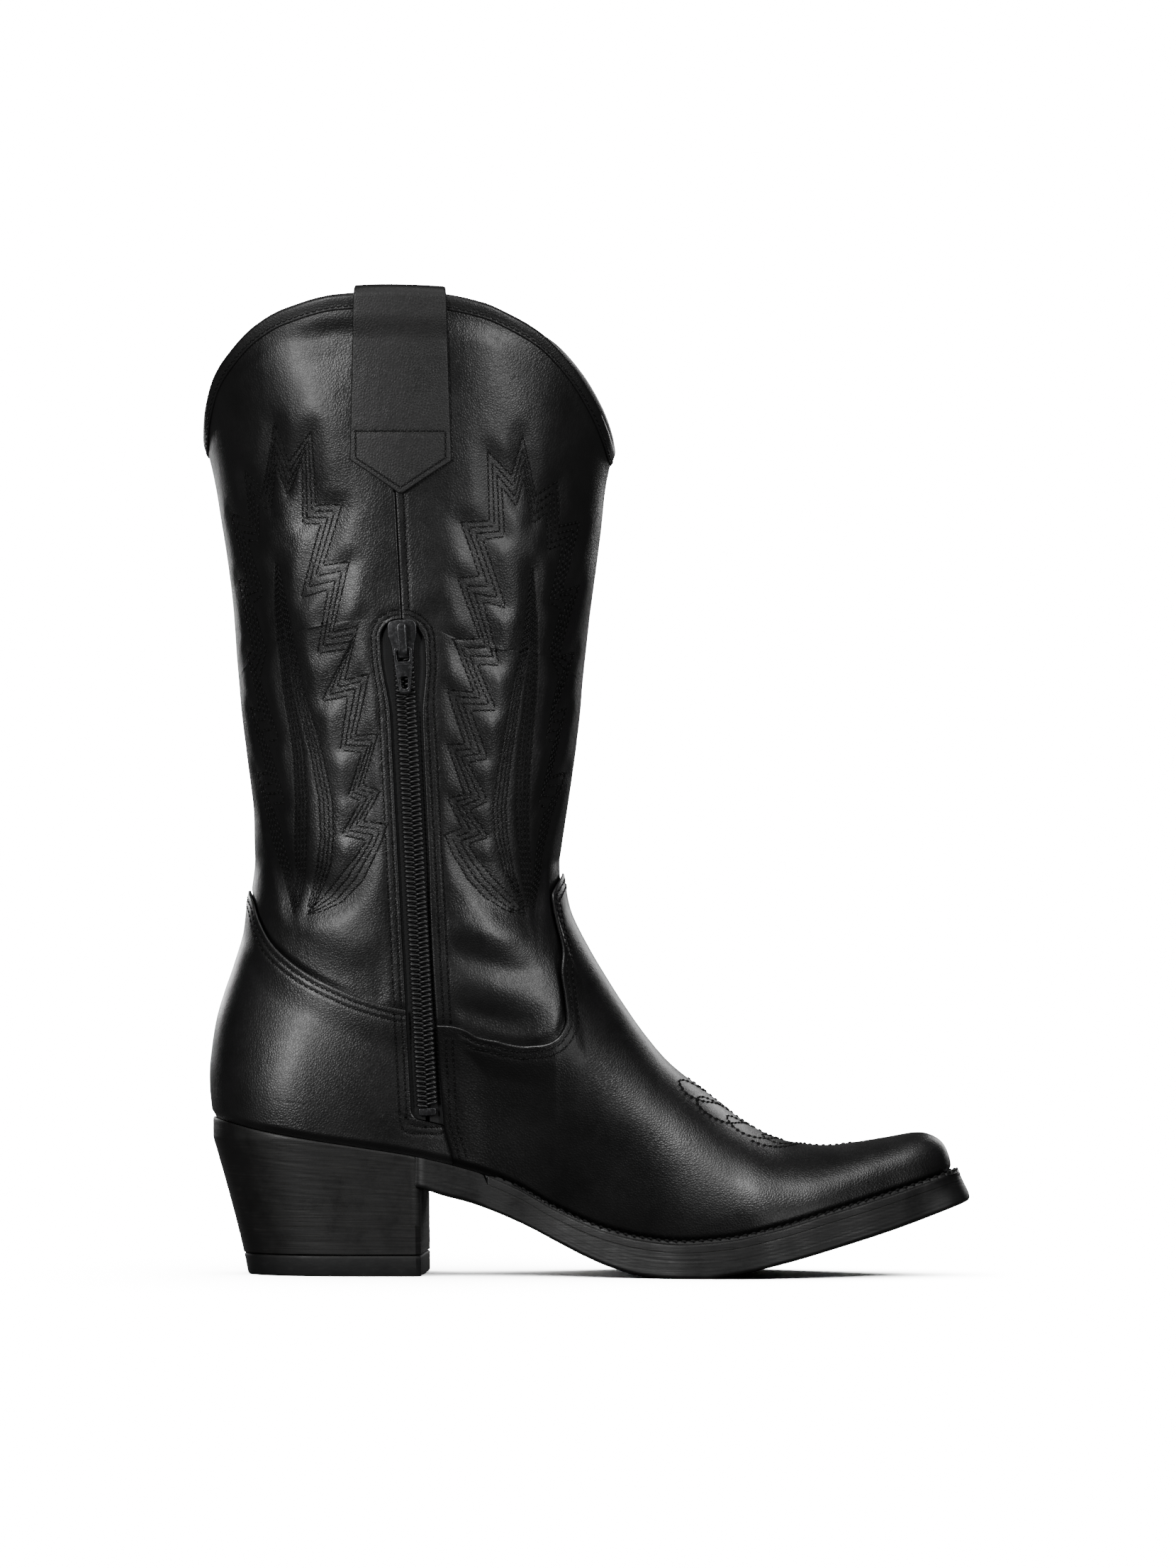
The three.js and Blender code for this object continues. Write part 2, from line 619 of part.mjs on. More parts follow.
function levelOfSeam(z) {
  return z < SIDE_ANKLE_Z
    ? (ANKLE_LEVEL * (z - SIDE_FOOT_Z)) / (SIDE_ANKLE_Z - SIDE_FOOT_Z)
    : lerp(ANKLE_LEVEL, 1, (z - SIDE_ANKLE_Z) / (SIDE_TOP_Z - SIDE_ANKLE_Z));
}

// Distance from the inner seam line: `window` along the zip, almost closed above and below it.
function seamGap(level, { window, foot = ZIP_FOOT_LEVEL, top = ZIP_TOP_LEVEL }) {
  if (level > top + 1e-5) return SEAM_GAP;
  return lerp(SEAM_GAP, window, smoothstep(level, foot, foot + 0.02));
}

// Borders of a front or back piece that meets its neighbour at the side seams.
const frontTurns = (opening) => (level) => [
  -90 + turnFromSeam(seamGap(level, opening), true, level),
  90 - turnFromSeam(SEAM_GAP, true, level),
];

const backTurns = (opening) => (level) => [
  90 + turnFromSeam(SEAM_GAP, false, level),
  270 - turnFromSeam(seamGap(level, opening), false, level),
];

const SHEET_COLUMNS = 22;
const SHAFT_WINDOW = 5.2; // half width of the zip's window in the shaft and in the covers
const COVER_WINDOW = 6.8;
const LINING_WINDOW = 15;
const LAP = 0.03; // how far the shaft reaches down under the covers, as a level
const SHAFT_TOP = 0.999;
const LINING_SPLIT = 0.34;

function addShaft() {
  addPiece(boot, 'shaft_front', upperSheet({
    columns: SHEET_COLUMNS,
    rows: 14,
    turns: frontTurns({ window: SHAFT_WINDOW }),
    levels: (turn) => [vampTop(turn) - LAP, SHAFT_TOP],
    layer: SHAFT_LAYER,
    knee: { row: 8, level: ZIP_TOP_LEVEL },
  }), blackLeather);
  addPiece(boot, 'shaft_back', upperSheet({
    columns: SHEET_COLUMNS,
    rows: 13,
    turns: backTurns({ window: SHAFT_WINDOW }),
    levels: (turn) => [counterTop(turn) - LAP, SHAFT_TOP],
    layer: SHAFT_LAYER,
    knee: { row: 8, level: ZIP_TOP_LEVEL },
  }), blackLeather);
}

function addCovers() {
  addPiece(boot, 'vamp', upperSheet({
    columns: 26,
    rows: 12,
    turns: frontTurns({ window: COVER_WINDOW }),
    levels: (turn) => [FEATHER_LEVEL, vampTop(turn)],
    layer: OUTER_COVER,
    bunching: 1.5,
  }), blackLeather);
  addPiece(boot, 'counter_cover', upperSheet({
    columns: 20,
    rows: 7,
    turns: backTurns({ window: COVER_WINDOW }),
    levels: (turn) => [FEATHER_LEVEL, counterTop(turn)],
    layer: OUTER_COVER,
  }), blackLeather);
}

function addStiffeners() {
  addPiece(boot, 'toe_puff', upperSheet({
    columns: 14,
    rows: 6,
    turns: () => [-45, 45],
    levels: () => [FEATHER_LEVEL, 0.078],
    layer: PUFF_LAYER,
    bunching: 1.4,
  }), stiffBoard);
  addPiece(boot, 'counter_stiffener', upperSheet({
    columns: 16,
    rows: 5,
    turns: () => [100, 260],
    levels: (turn) => [FEATHER_LEVEL, counterTop(turn) - LAP - 0.02],
    layer: SHAFT_LAYER,
  }), stiffBoard);
}

function addLinings() {
  const opening = { window: LINING_WINDOW, foot: -0.02, top: ZIP_TOP_LEVEL + 0.012 };
  const lining = (name, turns, sheet) => addPiece(boot, name, upperSheet({
    columns: SHEET_COLUMNS, turns: turns(opening), layer: LINING_LAYER, ...sheet,
  }), liningLeather);
  const shaft = {
    rows: 13,
    levels: () => [LINING_SPLIT + 0.003, SHAFT_TOP],
    knee: { row: 7, level: opening.top },
  };
  const foot = { rows: 10, levels: () => [FEATHER_LEVEL, LINING_SPLIT], bunching: 1.5 };
  lining('lining_front', frontTurns, shaft);
  lining('lining_back', backTurns, shaft);
  lining('vamp_lining', frontTurns, foot);
  lining('heel_lining', backTurns, { ...foot, rows: 6, bunching: 1 });
}

// Edge binding: a U section over the shaft's leather and its lining.
const BINDING_SECTION = [
  [-BINDING_LEG, 0.7], [0.4, 0.7], [0.4, -4], [-BINDING_LEG, -4],
  [-BINDING_LEG, -4.6], [1, -4.6], [1, 1.3], [-BINDING_LEG, 1.3],
];

function addBindings() {
  const binding = (from, to) => bentSection(BINDING_SECTION, SHEET_COLUMNS, (height, offset, c) =>
    rimPoint(lerp(from, to, c), offset, height));
  addPiece(boot, 'top_binding_front', binding(-89.8, 89.8), strapLeather);
  addPiece(boot, 'top_binding_back', binding(90.2, 269.8), strapLeather);
}

// Pull strap: a strip that loops over the rim on a side seam. Its outer end is a pentagon.
const STRAP_LOOP_RADIUS = 4.1;
const STRAP_LOOP_CENTRE = -1.6;
const STRAP_OUTER = 59; // length of the outer leg without its point
const STRAP_POINT = 13;
const STRAP_INNER = 45;
const STRAP_FORWARD = 5; // the strap's middle lies this far in front of the side seam
const STRAP_BOW = [0.4, 0.65]; // shares of the strip between which it bends over the rim

function addStrap(name, seamTurn) {
  const inner = seamTurn < 0;
  const across = (a) => {
    const distance = (a - 0.5) * STRAP_WIDTH + (inner ? STRAP_FORWARD : -STRAP_FORWARD);
    const towardsFront = inner ? distance > 0 : distance < 0;
    const swing = turnFromSeam(Math.abs(distance), towardsFront, 0.98);
    return seamTurn + Math.sign(distance) * swing;
  };
  const strap = bentBox([4, 17, 1], (a, b, c) => {
    const tip = STRAP_POINT * (1 - Math.abs(2 * a - 1));
    const radius = STRAP_LOOP_RADIUS + (0.5 - c) * -LEATHER;
    const [bowStart, bowEnd] = STRAP_BOW;
    const bow = Math.PI * clamp((b - bowStart) / (bowEnd - bowStart), 0, 1);
    const legOut = Math.max(bowStart - b, 0) / bowStart;
    const legIn = Math.max(b - bowEnd, 0) / (1 - bowEnd);
    const height = radius * Math.sin(bow) - legOut * (STRAP_OUTER + tip) - legIn * STRAP_INNER;
    return rimPoint(across(a), STRAP_LOOP_CENTRE + radius * Math.cos(bow), height);
  });
  addPiece(boot, name, strap, strapLeather);
}

function addSeamTapes() {
  const tape = (turns, levels, rows) =>
    upperSheet({ columns: 2, rows, turns, levels, layer: [-1.65, -1.35] });
  const spread = (centre) => () => [centre - 6, centre + 6];
  addPiece(boot, 'seam_tape_lateral', tape(spread(90), () => [0.2, 0.97], 16), zipFabric);
  const medial = tape(spread(-90), () => [ZIP_TOP_LEVEL + 0.04, 0.97], 6);
  addPiece(boot, 'seam_tape_medial', medial, zipFabric);
}

// ---------------------------------------------------------------- zip

const zipLow = skinPoint(-90, levelOfSeam(ZIP_BOTTOM.z));
const zipHigh = skinPoint(-90, levelOfSeam(ZIP_TOP.z));
const ZIP_LENGTH = zipLow.distanceTo(zipHigh);

// The zip's own frame: x across towards the toe, y up the zip, z out of the boot.
const zip = new THREE.Group();
zip.position.copy(zipLow);
{
  const up = zipHigh.clone().sub(zipLow).normalize();
  const out = new THREE.Vector3(0, -1, 0);
  out.addScaledVector(up, -out.dot(up)).normalize();
  zip.quaternion.setFromRotationMatrix(new THREE.Matrix4().makeBasis(up.clone().cross(out), up, out));
}
boot.add(zip);

function block([x0, y0, z0], [x1, y1, z1]) {
  const geometry = new THREE.BoxGeometry(x1 - x0, y1 - y0, z1 - z0);
  geometry.translate((x0 + x1) / 2, (y0 + y1) / 2, (z0 + z1) / 2);
  return geometry;
}

const COIL = { near: 0.8, far: 3.6, low: -1.35, high: 0.1, from: 4.2, end: 2.6 };
const TAPE = { near: 0.9, far: 14 }; // distances of a tape's edges from the middle of the zip
const STOP = { length: 2, top: 0.3 };
const SLIDER_Y = ZIP_LENGTH - 6.2; // closed: the slider covers the top stops

function addZipHalves() {
  const coil = (sign) => {
    const [a, b] = [sign * COIL.near, sign * COIL.far].sort((p, q) => p - q);
    return block([a, COIL.from, COIL.low], [b, ZIP_LENGTH - COIL.end, COIL.high]);
  };
  addPiece(zip, 'zip_coil_front', coil(1), zipCoil);
  addPiece(zip, 'zip_coil_back', coil(-1), zipCoil);
  const low = levelOfSeam(ZIP_BOTTOM.z - 1);
  const high = levelOfSeam(ZIP_TOP.z + 3);
  const tapes = (inFront) => (level) => {
    const near = turnFromSeam(TAPE.near, inFront, level);
    const far = turnFromSeam(TAPE.far, inFront, level);
    return inFront ? [-90 + near, -90 + far] : [-90 - far, -90 - near];
  };
  const tape = (inFront) => upperSheet({
    columns: 3, rows: 12, turns: tapes(inFront), levels: () => [low, high], layer: TAPE_LAYER,
  });
  addPiece(boot, 'zip_tape_front', tape(true), zipFabric);
  addPiece(boot, 'zip_tape_back', tape(false), zipFabric);
}

function addStops() {
  const { near, far, low } = COIL;
  const foot = COIL.from - 0.4;
  const bottom = block([0.4 - far, foot - 2.8, low], [far - 0.4, foot, STOP.top]);
  addPiece(zip, 'bottom_stop', bottom, zipMetal);
  const start = ZIP_LENGTH - COIL.end + 0.2;
  const end = start + STOP.length;
  addPiece(zip, 'top_stop_front', block([near, start, low], [far, end, STOP.top]), zipMetal);
  addPiece(zip, 'top_stop_back', block([-far, start, low], [-near, end, STOP.top]), zipMetal);
}

// Slider: a plate over the coil and one behind it, joined by a thin post, with a bridge on top.
const SLIDER = { half: 5.35, waist: 4.2, end: 3.6, length: 14, plate: 1.1, plateLow: 0.5, backLow: -4.05 };
const WEDGE = { half: 0.35, from: 1, to: 5.6 }; // the post between the slider's plates
const BRIDGE = { half: 1.85, reach: 5.8, under: 3.2, top: 4.2, post: 1.2 };

function sliderPlate(low, high) {
  const end = SLIDER.length / 2;
  const right = [
    [SLIDER.end, -end], [SLIDER.waist, -2], [SLIDER.half, 2], [SLIDER.half, end - 1.6], [3.8, end],
  ];
  const left = right.map(([x, y]) => [-x, y]).reverse();
  const shape = new THREE.Shape([...right, ...left].map(([x, y]) => new THREE.Vector2(x, y)));
  const plate = new THREE.ExtrudeGeometry(shape, { depth: high - low, bevelEnabled: false });
  plate.translate(0, 0, low);
  return plate;
}

function addSlider() {
  const top = SLIDER.plateLow + SLIDER.plate;
  const back = SLIDER.backLow + SLIDER.plate;
  const { half, reach, under, top: crown, post } = BRIDGE;
  const body = joined([
    sliderPlate(SLIDER.plateLow, top),
    sliderPlate(SLIDER.backLow, back),
    block([-WEDGE.half, WEDGE.from, back - 0.3], [WEDGE.half, WEDGE.to, top - 0.6]),
    block([-half, -reach, top - 0.2], [half, -reach + post, under + 0.1]),
    block([-half, reach - post, top - 0.2], [half, reach, under + 0.1]),
    block([-half, -reach, under], [half, reach, crown]),
  ]);
  body.translate(0, SLIDER_Y, 0);
  addPiece(zip, 'slider_body', body, zipMetal);
}

const PULLER = {
  hingeY: SLIDER_Y - 3.4, hingeZ: 2.4, thick: 1, half: 3.4, head: 0.5, neck: 4.5, end: 2, length: 16.5,
};

function addPuller() {
  const { half, head, neck, end, length, thick } = PULLER;
  const outline = [
    [-half, head], [-half, -neck], [-end, -length], [end, -length], [half, -neck], [half, head],
  ];
  const shape = new THREE.Shape(outline.map(([x, y]) => new THREE.Vector2(x, y)));
  const bridgeWindow = [[-2.2, -0.5], [2.2, -0.5], [2.2, -5.4], [-2.2, -5.4]];
  const endWindow = [[-1.3, -11], [1.3, -11], [1.1, -15], [-1.1, -15]];
  for (const window of [bridgeWindow, endWindow]) {
    shape.holes.push(new THREE.Path(window.map(([x, y]) => new THREE.Vector2(x, y))));
  }
  const puller = new THREE.ExtrudeGeometry(shape, { depth: thick, bevelEnabled: false });
  puller.translate(0, PULLER.hingeY, PULLER.hingeZ - thick / 2);
  addPiece(zip, 'puller', puller, zipMetal);
}

const GUARD = { front: 10, back: 21, thick: 0.8, backSink: 3.8, sink: 5.6 };

// Leather flap behind the zip. Its back edge lies near the lining, the rest stands clear of the
// slider.
function addZipGuard() {
  const low = levelOfSeam(ZIP_BOTTOM.z + 2);
  const high = levelOfSeam(ZIP_TOP.z + 8);
  const guard = bentBox([6, 12, 1], (a, b, c) => {
    const level = lerp(low, high, b);
    const near = turnFromSeam(GUARD.front, true, level);
    const far = turnFromSeam(GUARD.back, false, level);
    const turn = lerp(-90 - far, -90 + near, a);
    const sink = lerp(GUARD.backSink, GUARD.sink, smoothstep(a, 0, 0.35));
    return skinOffset(turn, level, (c - 1) * GUARD.thick - sink);
  });
  addPiece(boot, 'zip_guard', guard, liningLeather);
}

// ---------------------------------------------------------------- assembly

addOutsole();
addWelt();
addBottomFiller();
addShank();
addFasteners();
addHeel();
addInsoles();
addShaft();
addCovers();
addStiffeners();
addLinings();
addBindings();
addStrap('pull_strap_medial', -90);
addStrap('pull_strap_lateral', 90);
addSeamTapes();
addZipHalves();
addStops();
addSlider();
addPuller();
addZipGuard();

export default boot;
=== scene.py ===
"""Looks of the cowboy boot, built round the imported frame.

Surfaces are worked out in millimetres, in the frame's own axes, and scaled to metres when a mesh is
made. A place on the boot's skin is a turn (degrees: 0 front, -90 zip side, 90 outer side, 180 back)
and a level (0 at the sole, 1 at the rim).
"""

import math

import bpy
import numpy as np
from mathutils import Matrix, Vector, kdtree
from mathutils.bvhtree import BVHTree


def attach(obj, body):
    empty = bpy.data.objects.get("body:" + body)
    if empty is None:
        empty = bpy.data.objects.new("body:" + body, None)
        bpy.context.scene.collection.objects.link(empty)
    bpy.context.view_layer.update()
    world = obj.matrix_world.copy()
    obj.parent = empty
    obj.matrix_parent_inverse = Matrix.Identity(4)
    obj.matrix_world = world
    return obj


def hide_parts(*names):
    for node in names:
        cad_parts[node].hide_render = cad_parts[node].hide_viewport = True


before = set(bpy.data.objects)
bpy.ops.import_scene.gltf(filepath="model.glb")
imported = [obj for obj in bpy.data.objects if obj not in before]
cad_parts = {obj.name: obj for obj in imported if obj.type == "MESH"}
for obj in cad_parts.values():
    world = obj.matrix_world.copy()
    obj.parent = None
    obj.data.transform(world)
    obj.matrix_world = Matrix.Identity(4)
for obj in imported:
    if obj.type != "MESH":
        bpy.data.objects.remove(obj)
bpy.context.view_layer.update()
MM = 0.001

# ------------------------------------------------------------------ driving dimensions, as in the CAD

TOE_X = 132.5
HEEL_X = -136.9
SOLE_TOE_X = 139.7
SOLE_HEEL_X = -137.6
WELT_END_X = -35.0
BREAST_X = -59.5
ANKLE_Z = 149.6
BACK_ANKLE_Z = 144.0
SIDE_ANKLE_Z = 149.0
SIDE_FOOT_Z = 42.4
SIDE_TOP_Z = 356.0
ANKLE_LEVEL = 0.4
ZIP_LOW_X, ZIP_LOW_Z, ZIP_LOW_HALF = -56.8, 57.6, 29.5
ZIP_HIGH_X, ZIP_HIGH_Z, ZIP_HIGH_HALF = -65.3, 238.0, 43.0
WELT_THICKNESS = 3.0
LIFT_HEIGHT = 7.6
FEATHER_LEVEL = 0.0

FRONT_OUTLINE = [
    (TOE_X, 36.8), (132.2, 42), (129.6, 48), (124.7, 51.2), (119, 51.8), (109, 50), (98.8, 48.1),
    (88, 46.5), (78, 47.2), (68, 49.6), (56, 56), (42.5, 66.6), (29.6, 77), (20.5, 87.4),
    (13.2, 97.8), (6.7, 108), (0.3, 118.5), (-5.2, 129), (-8.8, 139), (-10.1, ANKLE_Z),
    (-9.3, 156), (-6, 180.7), (-3.1, 206.7), (0, 232.6), (3.2, 258.5), (5.7, 284), (9.1, 300),
]
BACK_OUTLINE = [
    (HEEL_X, 57.3), (-138.1, 68), (-138, 78), (-136, 92.6), (-133, 103), (-129.4, 113),
    (-125.6, 126), (-122.9, BACK_ANKLE_Z), (-122.5, 165), (-123.9, 180.7), (-126.8, 206.7),
    (-129.1, 232.6), (-132.2, 258.5), (-135.6, 284), (-140, 303),
]
FEATHER_LINE = [
    (HEEL_X, 57.3), (-118, 52.8), (-99.8, 49.6), (-81.4, 46.8), (-61.7, 43.6), (-48.7, 40.6),
    (-35.8, 36.8), (-23.6, 31.6), (-11.4, 24.8), (7.5, 16.9), (21.3, 13.7), (36, 12.4),
    (51.6, 13.5), (70.3, 17.4), (89.2, 23), (108.1, 28.7), (127, 34.9), (TOE_X, 36.8), (140, 38.6),
]
RIM = [
    (-140, 303), (-138.6, 314), (-134.6, 326.5), (-129.4, 334.2), (-119, 344.3), (-108.6, 350),
    (-88, 355.2), (-70.8, SIDE_TOP_Z), (-52, 355.4), (-36, 352.4), (-25.7, 348), (-15.3, 341.8),
    (-4.9, 330.9), (3.5, 317), (7.4, 307), (9.1, 300),
]
SOLE_BOTTOM = [
    (-137, 46.2), (-110, 40.6), (-85, 36.6), (-60.2, 32.4), (-51.6, 29.6), (-41.2, 26.8),
    (-30.9, 23), (-20.5, 18.4), (-10.1, 13), (0.3, 7.8), (10.6, 3.6), (21, 0.9), (32, 0), (44, 0),
    (54, 1.2), (72.9, 5.4), (93.6, 11.3), (114.4, 17.9), (135.1, 25.6), (140, 27.6),
]
INNER_PLAN = [
    (-140, 27.5), (-110, 29.6), (-90, 30), (-56, 28.4), (-22, 25.5), (10, 31), (38, 38.5),
    (60, 39.5), (80, 35), (100, 26.5), (115, 19), (127, 13.6), (140, 11),
]
OUTER_PLAN = [
    (-140, 27.5), (-110, 29.6), (-90, 30), (-56, 28.4), (-22, 31), (10, 39), (32, 43),
    (52, 42), (78, 34.5), (100, 25), (115, 18), (127, 13.2), (140, 11),
]
VAMP_EDGE = [
    (-58.4, 91.6), (-40.8, 88.7), (-30.3, 85.6), (-20, 84), (-11.6, 85.6), (-7, 92),
    (-7.6, 101), (-9, 110), (-9, 120), (-11.5, 130), (-12.9, 139), (-10.2, 146.4),
]
COUNTER_EDGE = [
    (-58.8, 96), (-69, 98), (-80.4, 101.2), (-90.8, 105.4), (-100.1, 110), (-108.5, 115.8),
    (-114.7, 122), (-118.9, 129.4), (-121.4, 136), (-123, 140.3),
]

# Stitched ornament in the side view, (x, z). Each has an outer and an inner row, and two more rows
# run evenly between them.
BACK_FLAME_OUTER = [
    (-106.1, 132), (-108.6, 140.5), (-112.5, 151.7), (-116.4, 167.8), (-120.6, 183.3),
    (-116.4, 182.8), (-122.4, 206.7), (-118.8, 205.9), (-124.2, 227.4), (-121.4, 226.4),
    (-127.6, 253.9), (-123.4, 252.3), (-129.4, 277.5), (-121.9, 275.4), (-123.7, 292.7),
    (-116.7, 286.5), (-111.8, 310.4), (-106.6, 296.1), (-97.8, 307.3), (-97, 280.3),
    (-87.4, 280.3), (-94.1, 258.5), (-84.5, 259.8), (-90.5, 234.4), (-81.4, 236.5), (-86.6, 216.8),
    (-77.5, 219.1), (-82.7, 196.8), (-74.4, 197.3), (-80.1, 178.7), (-73.6, 176.8), (-80.1, 165.7),
    (-71, 164.7), (-73.6, 157.4), (-80.1, 144.4), (-87.9, 136.7), (-95.7, 133), (-101.4, 131.7),
]
BACK_FLAME_INNER = [
    (-105.3, 133), (-106.6, 141.8), (-108.9, 151.7), (-111.8, 163.9), (-114.9, 171.7),
    (-109.4, 172.4), (-116.2, 194.2), (-111.8, 195.8), (-119.3, 217.6), (-116.7, 227.9),
    (-121.9, 245), (-117.2, 248.2), (-123.4, 267.9), (-118.5, 267.6), (-118.8, 281.3),
    (-113.8, 278.7), (-111.8, 296.1), (-107.4, 283.9), (-101.6, 296.9), (-101.9, 273.6),
    (-95.2, 273.6), (-102.2, 246.9), (-92.1, 249.7), (-96.5, 226.6), (-85.3, 228.2),
    (-95.2, 209.3), (-85.3, 211.1), (-88.4, 191.6), (-80.1, 190.6), (-85.6, 175), (-80.9, 173),
    (-87.9, 160.8), (-78.8, 158.7), (-82.2, 153.5), (-88.9, 145.5), (-94.9, 138.7), (-98.3, 135.4),
    (-100.9, 132.5),
]
BACK_LEAF_REAR = (
    [
        (-111.8, 259.8), (-112.5, 245.6), (-111.2, 227.4), (-109.9, 214.4), (-108.1, 204.1),
        (-106.1, 191.1), (-105, 173), (-105.5, 154.8), (-106.1, 133.5),
    ],
    [
        (-111.5, 257.7), (-110.7, 245.6), (-108.6, 227.4), (-107.1, 214.4), (-104.8, 204.1),
        (-102.2, 191.1), (-100.9, 173), (-101.4, 154.8), (-104.5, 134.1),
    ],
)
BACK_LEAF_ZIP = (
    [
        (-111.2, 257.7), (-109.9, 245.6), (-107.4, 227.4), (-105.5, 214.4), (-103.2, 204.1),
        (-99.6, 191.1), (-96.2, 173), (-95.7, 160), (-97.2, 149.6), (-101.1, 134.1),
    ],
    [
        (-111.2, 259.6), (-108.1, 245.6), (-105, 227.4), (-102.4, 214.4), (-99.1, 204.1),
        (-95.2, 191.1), (-91.3, 173), (-91, 160), (-92.3, 149.6), (-99.3, 133.5),
    ],
)
FRONT_FLAME_OUTER = [
    (-21, 131.5), (-28.3, 133.5), (-35.5, 137.9), (-41.7, 144.4), (-46.9, 153.5), (-50, 160.8),
    (-43.8, 163.1), (-49, 174.2), (-43, 175.3), (-49, 193.7), (-42.8, 193.7), (-49, 213.4),
    (-39.4, 212.6), (-46.7, 231.8), (-37.1, 231.8), (-45.1, 253.9), (-37.3, 254.6), (-43.8, 274.1),
    (-33.7, 274.6), (-34.2, 300), (-25.7, 290.9), (-21.8, 305.7), (-16.9, 283.9), (-9.3, 289.1),
    (-8.8, 272.8), (-1.8, 274.6), (-8.3, 248.7), (-2.3, 251.3), (-9.1, 225.3), (-3.6, 226.9),
    (-11.1, 204.6), (-7, 206.7), (-13, 181.3), (-7.5, 183.3), (-11.4, 170.4), (-14.8, 157.4),
    (-16.6, 144.4), (-18.2, 132),
]
FRONT_FLAME_INNER = [
    (-21, 132.5), (-23.6, 135.6), (-27.7, 139.8), (-33.4, 145.7), (-38.6, 152.2), (-41.7, 157.4),
    (-34.2, 160), (-41.2, 169.8), (-34.5, 173), (-41.7, 187), (-34.5, 188.5), (-40.7, 205.9),
    (-31.6, 205.9), (-38.1, 222.7), (-30.1, 222.2), (-36, 245.6), (-27.7, 243), (-36, 267.9),
    (-28.3, 268.9), (-29.3, 287), (-24.1, 279.8), (-21.3, 290.7), (-18.4, 273.6), (-13, 278.2),
    (-13.2, 264.2), (-7.5, 266.8), (-12.2, 245.6), (-8, 242.4), (-12.2, 227.4), (-8.8, 218.3),
    (-14, 195), (-11.1, 195), (-16.6, 171.7), (-14, 170.4), (-15.8, 163.9), (-17.4, 154.8),
    (-18.4, 144.4), (-19.2, 133.5),
]
FRONT_LEAF_ZIP = (
    [
        (-18.7, 257.7), (-21, 237.8), (-23.6, 222.2), (-26.2, 211.8), (-29, 196.3), (-31.1, 183.3),
        (-32.7, 170.4), (-31.9, 160), (-28.8, 147), (-22, 133.5),
    ],
    [
        (-18.7, 255.7), (-19.4, 237.8), (-21, 222.2), (-23.1, 211.8), (-25.4, 196.3), (-27, 183.3),
        (-28.3, 170.4), (-27.7, 160), (-25.7, 147), (-21, 134.1),
    ],
)
FRONT_LEAF_FRONT = (
    [
        (-18.4, 255.7), (-18.7, 237.8), (-19.7, 222.2), (-21, 211.8), (-22.8, 196.3),
        (-24.1, 183.3), (-24.4, 170.4), (-23.9, 160), (-22.3, 144.4), (-20.2, 134.1),
    ],
    [
        (-18.2, 257.7), (-16.9, 237.8), (-16.9, 222.2), (-17.4, 209.3), (-18.9, 196.3),
        (-20, 183.3), (-20.5, 167.8), (-20.2, 154.8), (-19.4, 144.4), (-18.7, 133.5),
    ],
)

# ------------------------------------------------------------------ curves


def lerp(a, b, t):
    return a + (b - a) * t


def smoothstep(value, low, high):
    u = np.clip((np.asarray(value, float) - low) / (high - low), 0, 1)
    return u * u * (3 - 2 * u)


def unit(v):
    return v / np.maximum(np.linalg.norm(v, axis=-1, keepdims=True), 1e-12)


def smooth_through(points):
    """A smooth function through (t, value) points that never overshoots them."""
    t, y = np.array(points, float).T
    chord = np.diff(y) / np.diff(t)
    before, after = np.r_[chord[:1], chord], np.r_[chord, chord[-1:]]
    total = np.where(before + after == 0, 1, before + after)
    slope = np.where(before * after <= 0, 0, 2 * before * after / total)

    def value(v):
        v = np.asarray(v, float)
        i = np.clip(np.searchsorted(t, v, side="right") - 1, 0, len(t) - 2)
        span = t[i + 1] - t[i]
        u = np.clip((v - t[i]) / span, 0, 1)
        bend = slope[i] * span * u * (1 - u) ** 2 - slope[i + 1] * span * u**2 * (1 - u)
        return lerp(y[i], y[i + 1], u * u * (3 - 2 * u)) + bend

    return value


def outline_table(points, steps=400):
    """Evenly spaced points on the smooth curve through an outline."""
    p = np.array(points, float)
    q = np.vstack([p[:1], p, p[-1:]])
    t = np.linspace(0, len(p) - 1, 6001)
    i = np.minimum(t.astype(int), len(p) - 2)
    u = (t - i)[:, None]
    a, b = (q[i + 2] - q[i]) / 2, (q[i + 3] - q[i + 1]) / 2
    start, end = q[i + 1], q[i + 2]
    curve = (
        (2 * start - 2 * end + a + b) * u**3 + (3 * end - 3 * start - 2 * a - b) * u**2 + a * u + start
    )
    run = np.r_[0, np.cumsum(np.hypot(*np.diff(curve, axis=0).T))]
    at = np.linspace(0, run[-1], steps + 1)
    return np.column_stack([np.interp(at, run, curve[:, k]) for k in (0, 1)])


feather = smooth_through(FEATHER_LINE)
rim_height = smooth_through(RIM)
sole_bottom = smooth_through(SOLE_BOTTOM)
inner_plan = smooth_through(INNER_PLAN)
outer_plan = smooth_through(OUTER_PLAN)
front_table = outline_table(FRONT_OUTLINE)
back_table = outline_table(BACK_OUTLINE)
front_ankle = int(np.argmax(front_table[:, 1] > ANKLE_Z))
back_ankle = int(np.argmax(back_table[:, 1] > BACK_ANKLE_Z))
ridge = front_table[:front_ankle][::-1]
shin = front_table[front_table[:, 0] < 60]
SEAM_SLOPE = (ZIP_HIGH_X - ZIP_LOW_X) / (ZIP_HIGH_Z - ZIP_LOW_Z)
FLARE = (ZIP_HIGH_HALF - ZIP_LOW_HALF) / (ZIP_HIGH_Z - ZIP_LOW_Z)
RIDGE_END_SLOPE = 2.2
SHIN_LEAN, CALF_LEAN = 0.16, -0.2  # how the outlines go on above their upper ends


